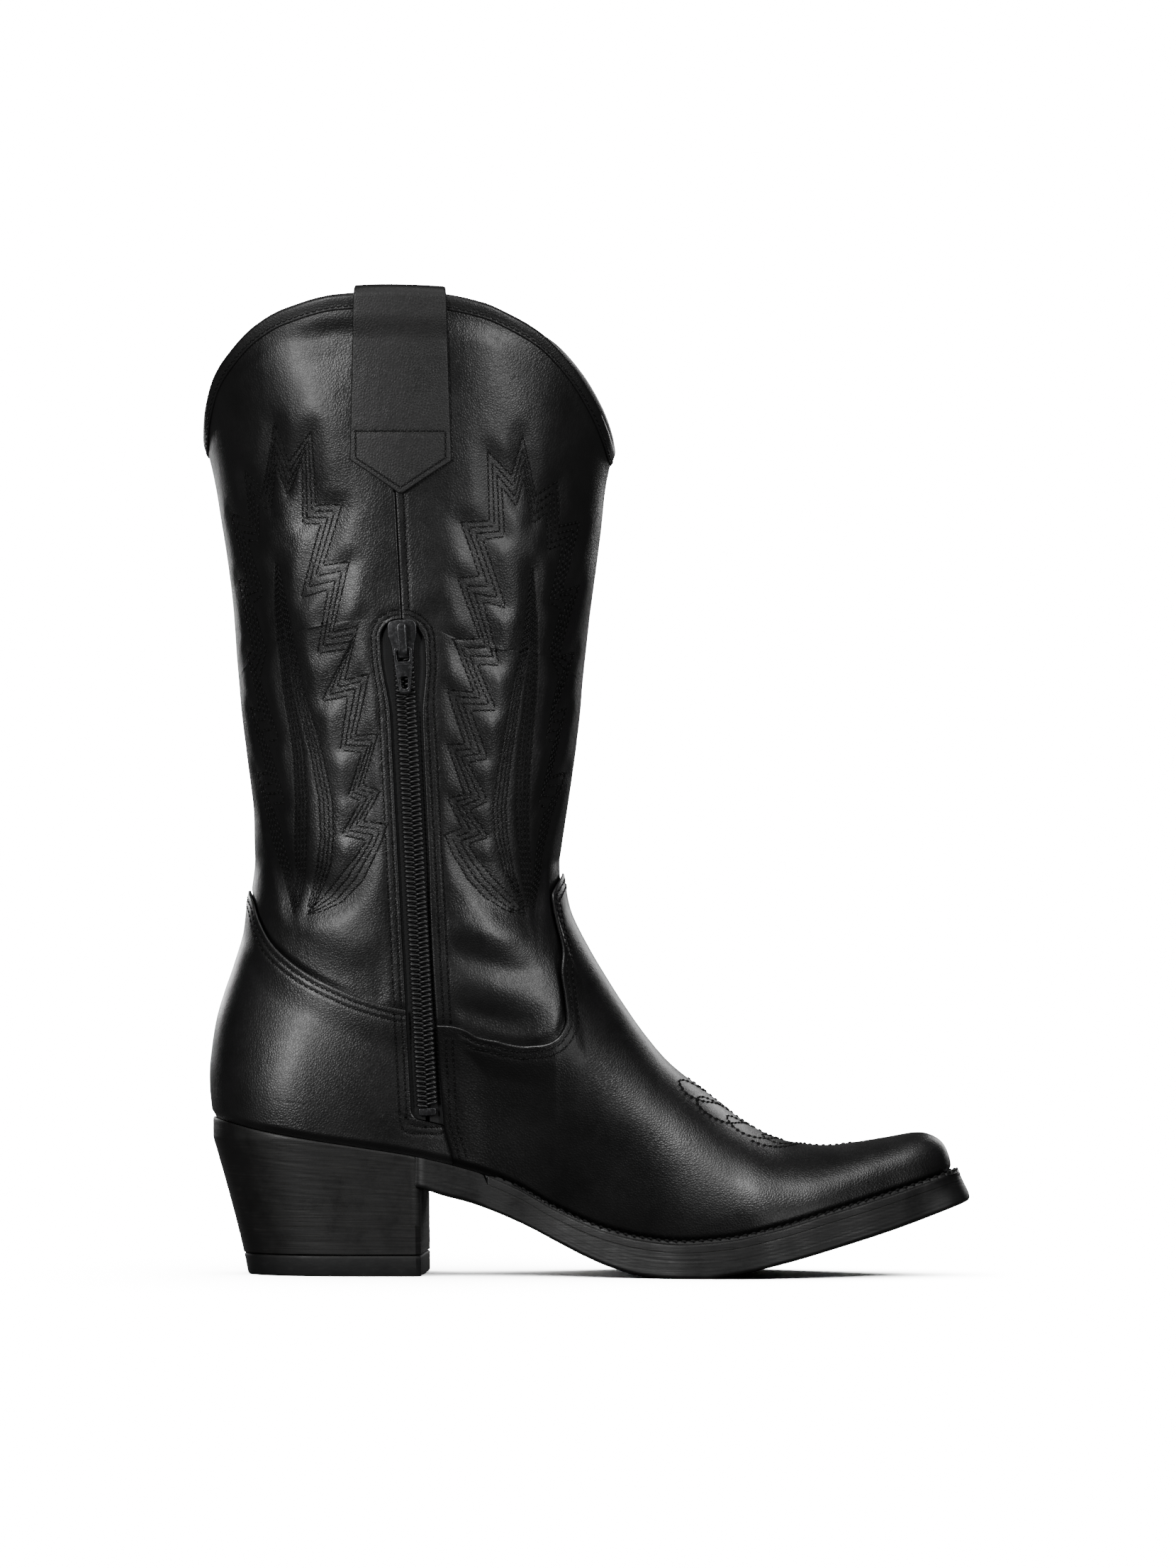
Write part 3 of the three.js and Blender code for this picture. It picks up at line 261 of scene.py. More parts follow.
def ridge_height(x):
    past = ridge[0, 1] + RIDGE_END_SLOPE * (ridge[0, 0] - x)
    return np.where(x > ridge[0, 0], np.interp(x, ridge[:, 0], ridge[:, 1]), past)


def front_x(z):
    x, top = FRONT_OUTLINE[-1]
    return np.where(z > top, x + SHIN_LEAN * (z - top), np.interp(z, shin[:, 1], shin[:, 0]))


def back_x(z):
    x, top = BACK_OUTLINE[-1]
    return np.where(z > top, x + CALF_LEAN * (z - top), np.interp(z, back_table[:, 1], back_table[:, 0]))


def seam_x(z):
    return ZIP_LOW_X + SEAM_SLOPE * (z - ZIP_LOW_Z)


def seam_half(z):
    return ZIP_LOW_HALF + FLARE * (z - ZIP_LOW_Z)


SEAM_FOOT_X = float(seam_x(SIDE_FOOT_Z))

# ------------------------------------------------------------------ the boot's skin


TOE_SPAN, HEEL_SPAN = 16, 40


def end_rounding(x, toe_x, heel_x):
    """Share of the plan's width that is left near the toe and near the heel."""
    toe = np.clip((x - toe_x + TOE_SPAN) / TOE_SPAN, 0, 1)
    heel = np.clip((heel_x + HEEL_SPAN - x) / HEEL_SPAN, 0, 1)
    return (1 - toe**3.2) ** (1 / 2.6) * (1 - heel**2.3) ** (1 / 2.1)


def plan_half(x, side, toe_x=TOE_X, heel_x=HEEL_X):
    half = np.where(np.asarray(side) < 0, inner_plan(x), outer_plan(x))
    return half * end_rounding(x, toe_x, heel_x)


def foot_half(x, z, side):
    seam = seam_x(z)
    in_front = x > seam
    end = np.where(in_front, TOE_X, back_x(z))
    share = np.clip((x - seam) / (end - seam), 0, 1)
    plan_x = lerp(SEAM_FOOT_X, np.where(in_front, TOE_X, HEEL_X), share)
    bottom = feather(x)
    height = np.clip((z - bottom) / (ridge_height(x) - bottom), 0, 1)
    return plan_half(plan_x, side) * (1 - height**2.1) ** (1 / 1.8)


def leg_half(x, z):
    seam = seam_x(z)
    end = np.where(x > seam, front_x(z), back_x(z))
    share = np.clip((x - seam) / (end - seam), 0, 1)
    return seam_half(z) * np.sqrt(1 - share**2.1)


LEG_BLEND = (55, 112)
FOOT_BEND = 14.0


def soft_rise(value, width):
    """0 below -width, the value itself above +width, and a smooth bend between."""
    bend = (np.clip(value + width, 0, 2 * width)) ** 2 / (4 * width)
    return np.where(value > width, value, bend)


def half_width(x, z, side):
    leg = smoothstep(z, *LEG_BLEND)
    z_low = np.minimum(z, LEG_BLEND[1])
    z_seam = SIDE_FOOT_Z + soft_rise(z_low - SIDE_FOOT_Z, FOOT_BEND)
    scale = seam_half(z_seam) / foot_half(seam_x(z_seam), z_seam, side)
    return lerp(scale * foot_half(x, z_low, side), leg_half(x, z), leg)


def table_point(table, ankle, level):
    last = len(table) - 1
    foot = level / ANKLE_LEVEL * ankle
    leg = lerp(ankle, last, (level - ANKLE_LEVEL) / (1 - ANKLE_LEVEL))
    index = np.where(level < ANKLE_LEVEL, foot, leg)
    steps = np.arange(last + 1)
    return np.stack([np.interp(index, steps, table[:, k]) for k in (0, 1)], -1)


def seam_point(level):
    foot = lerp(SIDE_FOOT_Z, SIDE_ANKLE_Z, level / ANKLE_LEVEL)
    leg = lerp(SIDE_ANKLE_Z, SIDE_TOP_Z, (level - ANKLE_LEVEL) / (1 - ANKLE_LEVEL))
    z = np.where(level < ANKLE_LEVEL, foot, leg)
    return np.stack([seam_x(z), z], -1)


INSTEP_DROP = 45  # lowers the rows that run towards the toe


def side_point(in_front, reach, level):
    """Side view position, from the seam (reach 0) to the front or back outline (reach 1)."""
    reach, level = np.broadcast_arrays(np.asarray(reach, float), np.asarray(level, float))
    in_front = np.broadcast_to(in_front, reach.shape)
    r = reach[..., None]

    def outline(t):
        front = table_point(front_table, front_ankle, t)
        back = table_point(back_table, back_ankle, t)
        return np.where(in_front[..., None], front, back)

    def ruled(t):
        return lerp(seam_point(t), outline(t), r)

    def correction(height, t):
        flat = ruled(np.full_like(level, t))
        return np.stack([np.zeros_like(level), height(flat[..., 0]) - flat[..., 1]], -1)

    at = ruled(level)
    at = at + correction(feather, 0.0) * (1 - level)[..., None]
    at = at + correction(rim_height, 1.0) * smoothstep(level, 0.35, 1)[..., None]
    drop = INSTEP_DROP * smoothstep(level, 0, 0.02) * (1 - smoothstep(level, 0.1, 0.3))
    at[..., 1] -= np.where(in_front, drop * (1 - reach) * reach**6, 0)
    return at


def skin(turn, level):
    turn, level = np.broadcast_arrays(np.asarray(turn, float), np.asarray(level, float))
    angle = np.radians(turn)
    reach = np.cos(angle)
    at = side_point(reach >= 0, np.abs(reach), np.clip(level, 0, 1))
    side = np.where(np.sin(angle) < 0, -1.0, 1.0)
    half = half_width(at[..., 0], at[..., 1], side)
    half = np.where(np.abs(np.sin(angle)) < 1e-6, 0, half)
    return np.stack([at[..., 0], side * half, at[..., 1]], -1)


def skin_frame(turn, level, step=0.002):
    """Outward normal, upward direction, and millimetres for each unit of level."""
    low, high = np.clip(level - step, 0, 1), np.clip(level + step, 0, 1)
    up = skin(turn, high) - skin(turn, low)
    around = skin(turn + 0.5, level) - skin(turn - 0.5, level)
    out = unit(np.cross(around, up))
    return out, unit(up), np.linalg.norm(up, axis=-1) / (high - low)


def skin_offset(turn, level, offset):
    out = skin_frame(turn, level)[0]
    return skin(turn, level) + out * np.asarray(offset)[..., None]


def side_skin(x, z, side, offset=0.0, step=0.2):
    """Point on the skin at a side view position, moved out by offset, and the outward normal."""
    x, z = np.broadcast_arrays(np.asarray(x, float), np.asarray(z, float))
    half = half_width(x, z, side)
    by_x = (half_width(x + step, z, side) - half_width(x - step, z, side)) / (2 * step)
    by_z = (half_width(x, z + step, side) - half_width(x, z - step, side)) / (2 * step)
    out = unit(np.stack([-by_x, np.full_like(half, side), -by_z], -1))
    at = np.stack([x, side * half, z], -1)
    return at + out * np.asarray(offset)[..., None], out


def turn_from_seam(distance, in_front, level):
    probe = 0.05
    span = np.linalg.norm(side_point(in_front, probe, level) - seam_point(level), axis=-1) / probe
    return np.degrees(np.arcsin(np.clip(distance / span, 0, 1)))


def level_of_seam(z):
    z = np.asarray(z, float)
    foot = ANKLE_LEVEL * (z - SIDE_FOOT_Z) / (SIDE_ANKLE_Z - SIDE_FOOT_Z)
    leg = lerp(ANKLE_LEVEL, 1, (z - SIDE_ANKLE_Z) / (SIDE_TOP_Z - SIDE_ANKLE_Z))
    return np.where(z < SIDE_ANKLE_Z, foot, leg)


def locate(point, in_front):
    """Turn and level of a side view position."""
    turn, level = (45.0, 0.3) if in_front else (135.0, 0.3)

    def at(t, l):
        return side_point(in_front, abs(math.cos(math.radians(t))), l)

    for _ in range(40):
        here = at(turn, level)
        by = np.column_stack([(at(turn + 0.1, level) - here) / 0.1, (at(turn, level + 1e-4) - here) / 1e-4])
        step = np.linalg.solve(by, np.array(point, float) - here)
        turn += float(np.clip(step[0], -8, 8))
        turn = min(max(turn, 0.5), 90.0) if in_front else min(max(turn, 90.0), 179.5)
        level = min(max(level + float(np.clip(step[1], -0.05, 0.05)), 0.0), 0.999)
    return turn, level


def edge_level(points, in_front):
    """The level of an edge drawn in the side view, as a function of the turn."""
    located = [list(locate(p, in_front)) for p in points]
    located[-1][0] = 0.0 if in_front else 180.0
    located[0][0] = 90.0
    located.sort()
    level = smooth_through(located)
    return lambda turn: level(np.abs((np.asarray(turn) + 540) % 360 - 180))


vamp_top = edge_level(VAMP_EDGE, True)
counter_top = edge_level(COUNTER_EDGE, False)

# ------------------------------------------------------------------ materials


class Nodes:
    """Short way to build a material's node tree. Positions are the object's own, in millimetres."""

    def __init__(self, name):
        self.material = bpy.data.materials.new(name)
        self.material.use_nodes = True
        self.tree = self.material.node_tree
        self.tree.nodes.clear()
        self.shader = self.add("ShaderNodeBsdfPrincipled")
        output = self.add("ShaderNodeOutputMaterial")
        self.link(self.shader.outputs[0], output.inputs["Surface"])
        where = self.add("ShaderNodeTexCoord").outputs["Object"]
        self.place = self.vector_math("SCALE", where, scale=1 / MM)

    def add(self, kind, **settings):
        node = self.tree.nodes.new(kind)
        for key, value in settings.items():
            setattr(node, key, value)
        return node

    def link(self, source, target):
        self.tree.links.new(source, target)

    def feed(self, target, value):
        if isinstance(value, bpy.types.NodeSocket):
            self.link(value, target)
        else:
            target.default_value = value

    def vector_math(self, operation, a, b=None, scale=None):
        node = self.add("ShaderNodeVectorMath", operation=operation)
        self.feed(node.inputs[0], a)
        if b is not None:
            self.feed(node.inputs[1], b)
        if scale is not None:
            node.inputs["Scale"].default_value = scale
        return node.outputs[0]

    def math(self, operation, a, b):
        node = self.add("ShaderNodeMath", operation=operation)
        self.feed(node.inputs[0], a)
        self.feed(node.inputs[1], b)
        return node.outputs[0]

    def stretched(self, stretch):
        return self.vector_math("MULTIPLY", self.place, stretch)

    def noise(self, scale, detail=3.0, rough=0.5, place=None):
        node = self.add("ShaderNodeTexNoise")
        self.link(place or self.place, node.inputs["Vector"])
        node.inputs["Scale"].default_value = scale
        node.inputs["Detail"].default_value = detail
        node.inputs["Roughness"].default_value = rough
        return node.outputs["Fac"]

    def cells(self, scale):
        node = self.add("ShaderNodeTexVoronoi", feature="DISTANCE_TO_EDGE")
        self.link(self.place, node.inputs["Vector"])
        node.inputs["Scale"].default_value = scale
        return node.outputs["Distance"]

    def wave(self, scale, direction, distortion):
        node = self.add("ShaderNodeTexWave", bands_direction=direction)
        self.link(self.place, node.inputs["Vector"])
        node.inputs["Scale"].default_value = scale
        node.inputs["Distortion"].default_value = distortion
        return node.outputs["Fac"]

    def spread(self, value, low, high, to_low=0.0, to_high=1.0):
        node = self.add("ShaderNodeMapRange")
        self.link(value, node.inputs["Value"])
        for key, number in (("From Min", low), ("From Max", high), ("To Min", to_low), ("To Max", to_high)):
            node.inputs[key].default_value = number
        return node.outputs["Result"]

    def blend(self, share, dark, light):
        node = self.add("ShaderNodeMix", data_type="RGBA")
        self.feed(node.inputs["Factor"], share)
        self.feed(node.inputs[6], (*dark, 1))
        self.feed(node.inputs[7], (*light, 1))
        return node.outputs[2]

    def bumps(self, *layers):
        """Each layer is (height, strength, distance in millimetres)."""
        normal = None
        for height, strength, distance in layers:
            node = self.add("ShaderNodeBump")
            self.link(height, node.inputs["Height"])
            node.inputs["Strength"].default_value = strength
            node.inputs["Distance"].default_value = distance * MM
            if normal is not None:
                self.link(normal, node.inputs["Normal"])
            normal = node.outputs["Normal"]
        self.link(normal, self.shader.inputs["Normal"])

    def finish(self, colour, rough=None, **constants):
        self.feed(self.shader.inputs["Base Color"], colour)
        if rough is not None:
            self.feed(self.shader.inputs["Roughness"], rough)
        for key, value in constants.items():
            self.shader.inputs[key.replace("_", " ")].default_value = value
        return self.material


def leather(name, dark, light, rough, grain=0.5, creases=0.35, coat=0.12):
    """Smooth grain leather: fine pebble, hair pores, faint creases and uneven polish."""
    n = Nodes(name)
    pebble = n.cells(1.05)
    pores = n.noise(3.2, 2.0)
    patches = n.noise(0.035, 4.0, 0.6)
    veins = n.noise(0.22, 5.0, 0.62, n.stretched((1.0, 1.0, 0.45)))
    dull = n.spread(n.noise(0.5, 3.0), 0.3, 0.7, 0.0, 0.04)
    polish = n.math("ADD", n.spread(patches, 0.3, 0.7, rough - 0.05, rough + 0.06), dull)
    n.bumps(
        (n.spread(pebble, 0.0, 0.3), grain, 0.07),
        (pores, 0.35 * grain, 0.04),
        (n.spread(veins, 0.35, 0.65), creases, 0.14),
    )
    colour = n.blend(n.spread(patches, 0.3, 0.7), dark, light)
    return n.finish(colour, polish, Coat_Weight=coat, Coat_Roughness=0.24, Specular_IOR_Level=0.5)


def thread_material():
    n = Nodes("waxed_thread")
    twist = n.wave(1.6, "DIAGONAL", 0.5)
    n.bumps((twist, 0.5, 0.05))
    colour = n.blend(n.noise(0.8), (0.002, 0.002, 0.0022), (0.006, 0.006, 0.0063))
    return n.finish(colour, n.spread(twist, 0, 1, 0.6, 0.75), Specular_IOR_Level=0.25)


# Near-black, matte, barely reflective colour for the needle holes: painted shade standing in for the shadow
# inside each hole.
def hole_shade_material():
    n = Nodes("painted_hole_shade_finish")
    n.bumps((n.noise(4.0), 0.3, 0.05))
    colour = n.blend(n.noise(1.0), (0.001, 0.001, 0.001), (0.003, 0.003, 0.003))
    return n.finish(colour, n.spread(n.noise(2.0), 0.3, 0.7, 0.85, 0.95), Specular_IOR_Level=0.1)


def rubber(name, dark, light, scratch_stretch, rough):
    """Sole edge: dressed rubber with fine lines along it, scuffs and a dull patchy shine."""
    n = Nodes(name)
    lines = n.noise(1.0, 6.0, 0.7, n.stretched(scratch_stretch))
    fine = n.noise(1.0, 3.0, 0.6, n.stretched(tuple(3.1 * s for s in scratch_stretch)))
    scuffs = n.noise(0.12, 5.0, 0.65)
    n.bumps((n.spread(lines, 0.35, 0.65), 0.35, 0.07), (fine, 0.3, 0.04), (n.noise(2.5), 0.12, 0.03))
    dull = n.spread(scuffs, 0.3, 0.7, rough - 0.1, rough + 0.12)
    shine = n.math("ADD", dull, n.math("MULTIPLY", fine, 0.08))
    worn = n.math("MULTIPLY", n.spread(lines, 0.52, 0.72), n.spread(scuffs, 0.4, 0.65))
    return n.finish(n.blend(worn, dark, light), shine, Specular_IOR_Level=0.45)


def steel_material():
    n = Nodes("brushed_steel")
    brushed = n.noise(1.0, 4.0, 0.6, n.stretched((0.3, 3.0, 3.0)))
    n.bumps((brushed, 0.2, 0.03))
    colour = n.blend(brushed, (0.3, 0.3, 0.31), (0.46, 0.46, 0.48))
    return n.finish(colour, n.spread(brushed, 0.2, 0.8, 0.3, 0.45), Metallic=1.0)


def lacquered_metal():
    n = Nodes("black_lacquered_metal")
    wear = n.noise(0.9, 4.0, 0.6)
    n.bumps((n.noise(1.4, 2.0), 0.06, 0.03), (n.noise(6.0, 2.0), 0.05, 0.01))
    colour = n.blend(n.spread(wear, 0.55, 0.75), (0.07, 0.07, 0.073), (0.16, 0.16, 0.165))
    return n.finish(colour, n.spread(wear, 0.3, 0.7, 0.24, 0.36), Metallic=0.9)


def coil_material():
    n = Nodes("moulded_nylon")
    n.bumps((n.noise(2.5, 3.0), 0.12, 0.04))
    colour = n.blend(n.noise(0.4), (0.003, 0.003, 0.0032), (0.009, 0.009, 0.0095))
    polish = n.spread(n.noise(0.8), 0.3, 0.7, 0.34, 0.48)
    return n.finish(colour, polish, Coat_Weight=0.1, Coat_Roughness=0.3)


def tape_material():
    n = Nodes("woven_tape")
    warp = n.wave(0.75, "X", 0.2)
    weft = n.wave(0.75, "Z", 0.2)
    weave = n.math("MULTIPLY", warp, weft)
    n.bumps((weave, 0.7, 0.15), (n.noise(5.0), 0.3, 0.05))
    colour = n.blend(weave, (0.004, 0.004, 0.0045), (0.014, 0.014, 0.015))
    return n.finish(colour, n.spread(weave, 0, 1, 0.75, 0.92), Sheen_Weight=0.15, Sheen_Roughness=0.5)


def board_material():
    n = Nodes("fibre_board")
    fibres = n.noise(1.0, 5.0, 0.65, n.stretched((0.5, 2.0, 2.0)))
    n.bumps((fibres, 0.4, 0.1))
    colour = n.blend(fibres, (0.25, 0.17, 0.1), (0.42, 0.32, 0.2))
    return n.finish(colour, n.spread(fibres, 0.3, 0.7, 0.8, 0.95))


def cork_material():
    n = Nodes("ground_cork")
    grains = n.cells(0.55)
    n.bumps((n.spread(grains, 0, 0.3), 0.6, 0.2))
    speckle = n.noise(0.6, 4.0, 0.7)
    colour = n.blend(speckle, (0.16, 0.09, 0.045), (0.42, 0.27, 0.14))
    return n.finish(colour, n.spread(grains, 0, 0.5, 0.95, 0.82))


black_leather = leather("black_smooth_leather", (0.0032, 0.0031, 0.0033), (0.006, 0.0058, 0.0061), 0.34)
vamp_black = leather(
    "black_foot_leather", (0.0032, 0.0031, 0.0033), (0.006, 0.0058, 0.0061), 0.36, 0.6, 0.22,
)
strap_black = leather(
    "black_strap_leather", (0.0055, 0.0054, 0.0055), (0.01, 0.0098, 0.01), 0.47, 0.7, 0.4, 0.0,
)
rim_black = leather("black_rim_leather", (0.0035, 0.0034, 0.0036), (0.0065, 0.0063, 0.0066), 0.4, 0.5, 0.3)
lining_black = leather(
    "black_lining_leather", (0.012, 0.011, 0.0105), (0.024, 0.022, 0.02), 0.62, 0.5, 0.3, 0.0,
)
thread_black = thread_material()
# Painted shade of the needle holes.
painted_hole_shade = hole_shade_material()
sole_black = rubber(
    "black_sole_edge", (0.0045, 0.0045, 0.0047), (0.018, 0.0175, 0.017), (0.05, 0.05, 1.4), 0.42,
)
heel_black = rubber(
    "black_stacked_heel", (0.005, 0.0048, 0.0048), (0.026, 0.0245, 0.0235), (0.035, 0.035, 1.6), 0.44,
)
lift_black = rubber(
    "black_heel_cap", (0.007, 0.007, 0.0073), (0.022, 0.022, 0.022), (0.25, 0.25, 0.6), 0.55,
)
steel_grey = steel_material()
zip_metal = lacquered_metal()
coil_black = coil_material()
tape_black = tape_material()
board_tan = board_material()
cork_brown = cork_material()

# ------------------------------------------------------------------ mesh builders


def new_mesh(name, verts, faces, sharp_deg=None):
    """A mesh from points in millimetres and a list of index arrays, each with faces of one size."""
    mesh = bpy.data.meshes.new(name)
    faces = [np.asarray(f, np.int32) for f in faces if len(f)]
    sizes = np.concatenate([np.full(len(f), f.shape[1], np.int32) for f in faces])
    corners = np.concatenate([f.ravel() for f in faces])
    mesh.vertices.add(len(verts))
    mesh.vertices.foreach_set("co", (np.asarray(verts, float) * MM).astype(np.float32).ravel())
    mesh.loops.add(len(corners))
    mesh.loops.foreach_set("vertex_index", corners)
    mesh.polygons.add(len(sizes))
    mesh.polygons.foreach_set("loop_start", np.r_[0, np.cumsum(sizes)[:-1]].astype(np.int32))
    mesh.update(calc_edges=True)
    mesh.validate()
    mesh.shade_smooth()
    if sharp_deg is not None:
        mesh.set_sharp_from_angle(angle=math.radians(sharp_deg))
    return mesh


def add_piece(name, mesh, material, replaces=(), body="boot"):
    piece = bpy.data.objects.new(name, mesh)
    bpy.context.scene.collection.objects.link(piece)
    mesh.materials.append(material)
    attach(piece, body)
    if replaces:
        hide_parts(*replaces)


def grid_faces(index):
    return np.stack([index[:-1, :-1], index[:-1, 1:], index[1:, 1:], index[1:, :-1]], -1).reshape(-1, 4)


def shell(name, outer, inner, sharp_deg=50):
    """Closed mesh between an outer and an inner grid of points of one shape."""
    rows, columns = outer.shape[:2]
    count = rows * columns
    index = np.arange(count).reshape(rows, columns)
    border = np.concatenate([index[0, :-1], index[:-1, -1], index[-1, :0:-1], index[:0:-1, 0]])
    following = np.roll(border, -1)
    walls = np.stack([following, border, border + count, following + count], -1)
    verts = np.concatenate([outer.reshape(-1, 3), inner.reshape(-1, 3)])
    faces = [grid_faces(index), grid_faces(index)[:, ::-1] + count, walls]
    return new_mesh(name, verts, faces, sharp_deg)


def closed_tube(rings):
    """Vertices and faces of a tube through rings of points, closed by a fan at each end."""
    count, sides = rings.shape[:2]
    index = np.arange(count * sides).reshape(count, sides)
    wrapped = np.concatenate([index, index[:, :1]], 1)
    last = count * sides
    verts = np.concatenate([rings.reshape(-1, 3), rings[:1].mean(1), rings[-1:].mean(1)])
    start = np.stack([wrapped[0, 1:], wrapped[0, :-1], np.full(sides, last)], -1)
    end = np.stack([wrapped[-1, :-1], wrapped[-1, 1:], np.full(sides, last + 1)], -1)
    return verts, [grid_faces(wrapped), np.concatenate([start, end])]


def merged(parts):
    """One vertex array and face list from several (verts, faces) pairs."""
    verts, faces, base = [], {}, 0
    for part_verts, part_faces in parts:
        for f in part_faces:
            faces.setdefault(f.shape[1], []).append(f + base)
        verts.append(part_verts)
        base += len(part_verts)
    return np.concatenate(verts), [np.concatenate(f) for f in faces.values()]


def edge_shares(count, span, fine=(0, 0.1, 0.3, 0.6, 1.0)):
    """Shares from 0 to 1 for rows or columns, closer together near both ends of span millimetres."""
    near = np.array(fine) / span
    return np.r_[near[:-1], np.linspace(near[-1], 1 - near[-1], count), 1 - near[-2::-1]]


def sheet_grid(turns, levels, columns, rows, knee=None):
    """Turns and levels of a sheet's grid, from its borders and its row and column shares.
    knee is (share, level): the row at that share runs level."""
    a, b = np.asarray(columns)[None, :], np.asarray(rows)[:, None]

    def level_at(low, high):
        if knee is None:
            return lerp(low, high, b)
        share, middle = knee
        below = lerp(low, middle, b / share)
        return np.where(b < share, below, lerp(middle, high, (b - share) / (1 - share)))

    turn = np.zeros((b.size, a.size))
    level = level_at(*levels(turn)) + turn
    for _ in range(5):
        low_turn, high_turn = turns(level)
        turn = lerp(low_turn, high_turn, a)
        level = level_at(*levels(turn))
    return turn, level


def rounded(distance, radius):
    """How far a sheet's face drops at a distance from its border, for a rounded edge."""
    t = 1 - np.clip(distance / radius, 0, 1)
    return radius * (1 - np.sqrt(1 - t * t))


# ------------------------------------------------------------------ stitching

STITCH_PITCH = 2.2
WIDE_PITCH = 2.4
STITCH_LENGTH = 0.68  # share of the pitch
STITCH_LIFT = 0.12
THREAD = 0.27
HOLE_RADIUS, HOLE_LIFT = 0.5, 0.07
ROW_COUNT = 4


def along(points, step=0.7):
    """Points every step along a polyline."""
    p = np.array(points, float)
    out = [p[:1]]
    for a, b in zip(p[:-1], p[1:], strict=True):
        n = max(int(np.linalg.norm(b - a) / step), 1)
        out.append(a + (b - a) * (np.arange(1, n + 1) / n)[:, None])
    return np.concatenate(out)


def stitch_frames(at, out, pitch):
    """Centre, direction and normal of each stitch along a run of surface points."""
    run = np.r_[0, np.cumsum(np.linalg.norm(np.diff(at, axis=0), axis=1))]
    count = max(int(round(run[-1] / pitch)), 1)
    step = run[-1] / count
    middle = (np.arange(count) + 0.5) * step

    def sample(values, s):
        return np.column_stack([np.interp(s, run, values[:, k]) for k in range(3)])

    ahead = unit(sample(at, middle + step * 0.4) - sample(at, middle - step * 0.4))
    return sample(at, middle), ahead, unit(sample(out, middle)), np.full(count, step)


def thread_mesh(name, runs, radius):
    """One mesh of stitches: each dives into the leather at both ends and stands proud between."""
    centre, ahead, out, step = (np.concatenate(c) for c in zip(*runs, strict=True))
    across = np.cross(out, ahead)
    stations = np.array([-1.0, -0.8, -0.35, 0.35, 0.8, 1.0])
    size = np.array([0.45, 0.85, 1, 1, 0.85, 0.45])
    height = np.array([-1.7, -0.55, 0, 0, -0.55, -1.7]) * radius + STITCH_LIFT
    angles = np.arange(6) * math.tau / 6
    half = (step * STITCH_LENGTH / 2)[:, None, None, None]
    rings = centre[:, None, None] + ahead[:, None, None] * half * stations[None, :, None, None]
    side = np.cos(angles)[None, None, :, None] * size[None, :, None, None] * radius
    rise = np.sin(angles)[None, None, :, None] * size[None, :, None, None] * radius
    rings = rings + across[:, None, None] * side + out[:, None, None] * (rise + height[None, :, None, None])
    per = len(stations) * 6
    one = closed_tube(np.zeros((len(stations), 6, 3)))[1]
    flat = rings.reshape(len(centre), per, 3)
    tips = flat.reshape(len(centre), len(stations), 6, 3)[:, [0, -1]].mean(2)
    verts = np.concatenate([flat, tips], 1).reshape(-1, 3)
    base = (np.arange(len(centre)) * (per + 2))[:, None, None]
    return new_mesh(name, verts, [(f[None] + base).reshape(-1, f.shape[1]) for f in one])


def hole_mesh(name, runs):
    """The needle holes: a small dished disc where one stitch ends and the next begins; add_stitching gives it
    a near-black matte colour that is painted shade of the hole.
    """
    centre, ahead, out, step = (np.concatenate(c) for c in zip(*runs, strict=True))
    at = centre - ahead * (step / 2)[:, None]
    across = np.cross(out, ahead)
    angles = np.arange(7) * math.tau / 7
    ring = np.cos(angles)[None, :, None] * across[:, None] + np.sin(angles)[None, :, None] * ahead[:, None]
    rim = at[:, None] + ring * HOLE_RADIUS + out[:, None] * HOLE_LIFT
    foot = at[:, None] + ring * HOLE_RADIUS - out[:, None] * 0.35
    dish = at - out * 0.12
    bottom = at - out * 0.4
    verts = np.concatenate([foot, rim, dish[:, None], bottom[:, None]], 1).reshape(-1, 3)
    k = np.arange(7)
    n = np.roll(k, -1)
    wall = np.stack([k, n, n + 7, k + 7], -1)
    caps = np.concatenate([np.stack([k + 7, n + 7, 0 * k + 14], -1), np.stack([n, k, 0 * k + 15], -1)])
    base = (np.arange(len(at)) * 16)[:, None, None]
    return new_mesh(name, verts, [(f[None] + base).reshape(-1, f.shape[1]) for f in (wall, caps)])


def near_tree(points):
    tree = kdtree.KDTree(len(points))
    for i, p in enumerate(points):
        tree.insert(p, i)
    tree.balance()
    return tree


def distance_to(tree, grid):
    flat = grid.reshape(-1, 3)
    found = np.fromiter((tree.find(p)[2] for p in flat), float, len(flat))
    return found.reshape(grid.shape[:-1])


def add_stitching(name, runs, radius=THREAD, holes=True):
    title = f"thread_{name}"
    add_piece(title, thread_mesh(title, runs, radius), thread_black)
    if holes:
        # Dark discs at the needle holes: their colour is painted shade of the holes.
        title = f"needle_holes_{name}"
        add_piece(title, hole_mesh(title, runs), painted_hole_shade)


# ------------------------------------------------------------------ stitch lines on the upper

WINDOW_HALF = 5.9
WINDOW_WIDE = 2.3  # wider round the slider
ARCH_Z = 231.6
ARCH_RISE = 7.6
WINDOW_FOOT_Z = 56.3
ROW_INSETS = (1.7, 4.2)
TOP_ROW_INSETS = (1.5, 3.3)
SEAM_ROW = 2.9
SEAM_ROW_TOP = 300  # under the pull straps
EDGE_ROWS = (2.1, 4.4)
MEDIAL, LATERAL = -1.0, 1.0
SIDE_SEAM_GAP = 0.03


def window_half(z):
    return WINDOW_HALF + WINDOW_WIDE * smoothstep(z, 204, 226)


def ornament(pairs):
    rows = []
    for outer, inner in pairs:
        a, b = np.array(outer, float), np.array(inner, float)
        rows += [lerp(a, b, t) for t in np.linspace(0, 1, ROW_COUNT)]
    return rows


SHARP_CORNER = math.cos(math.radians(32))


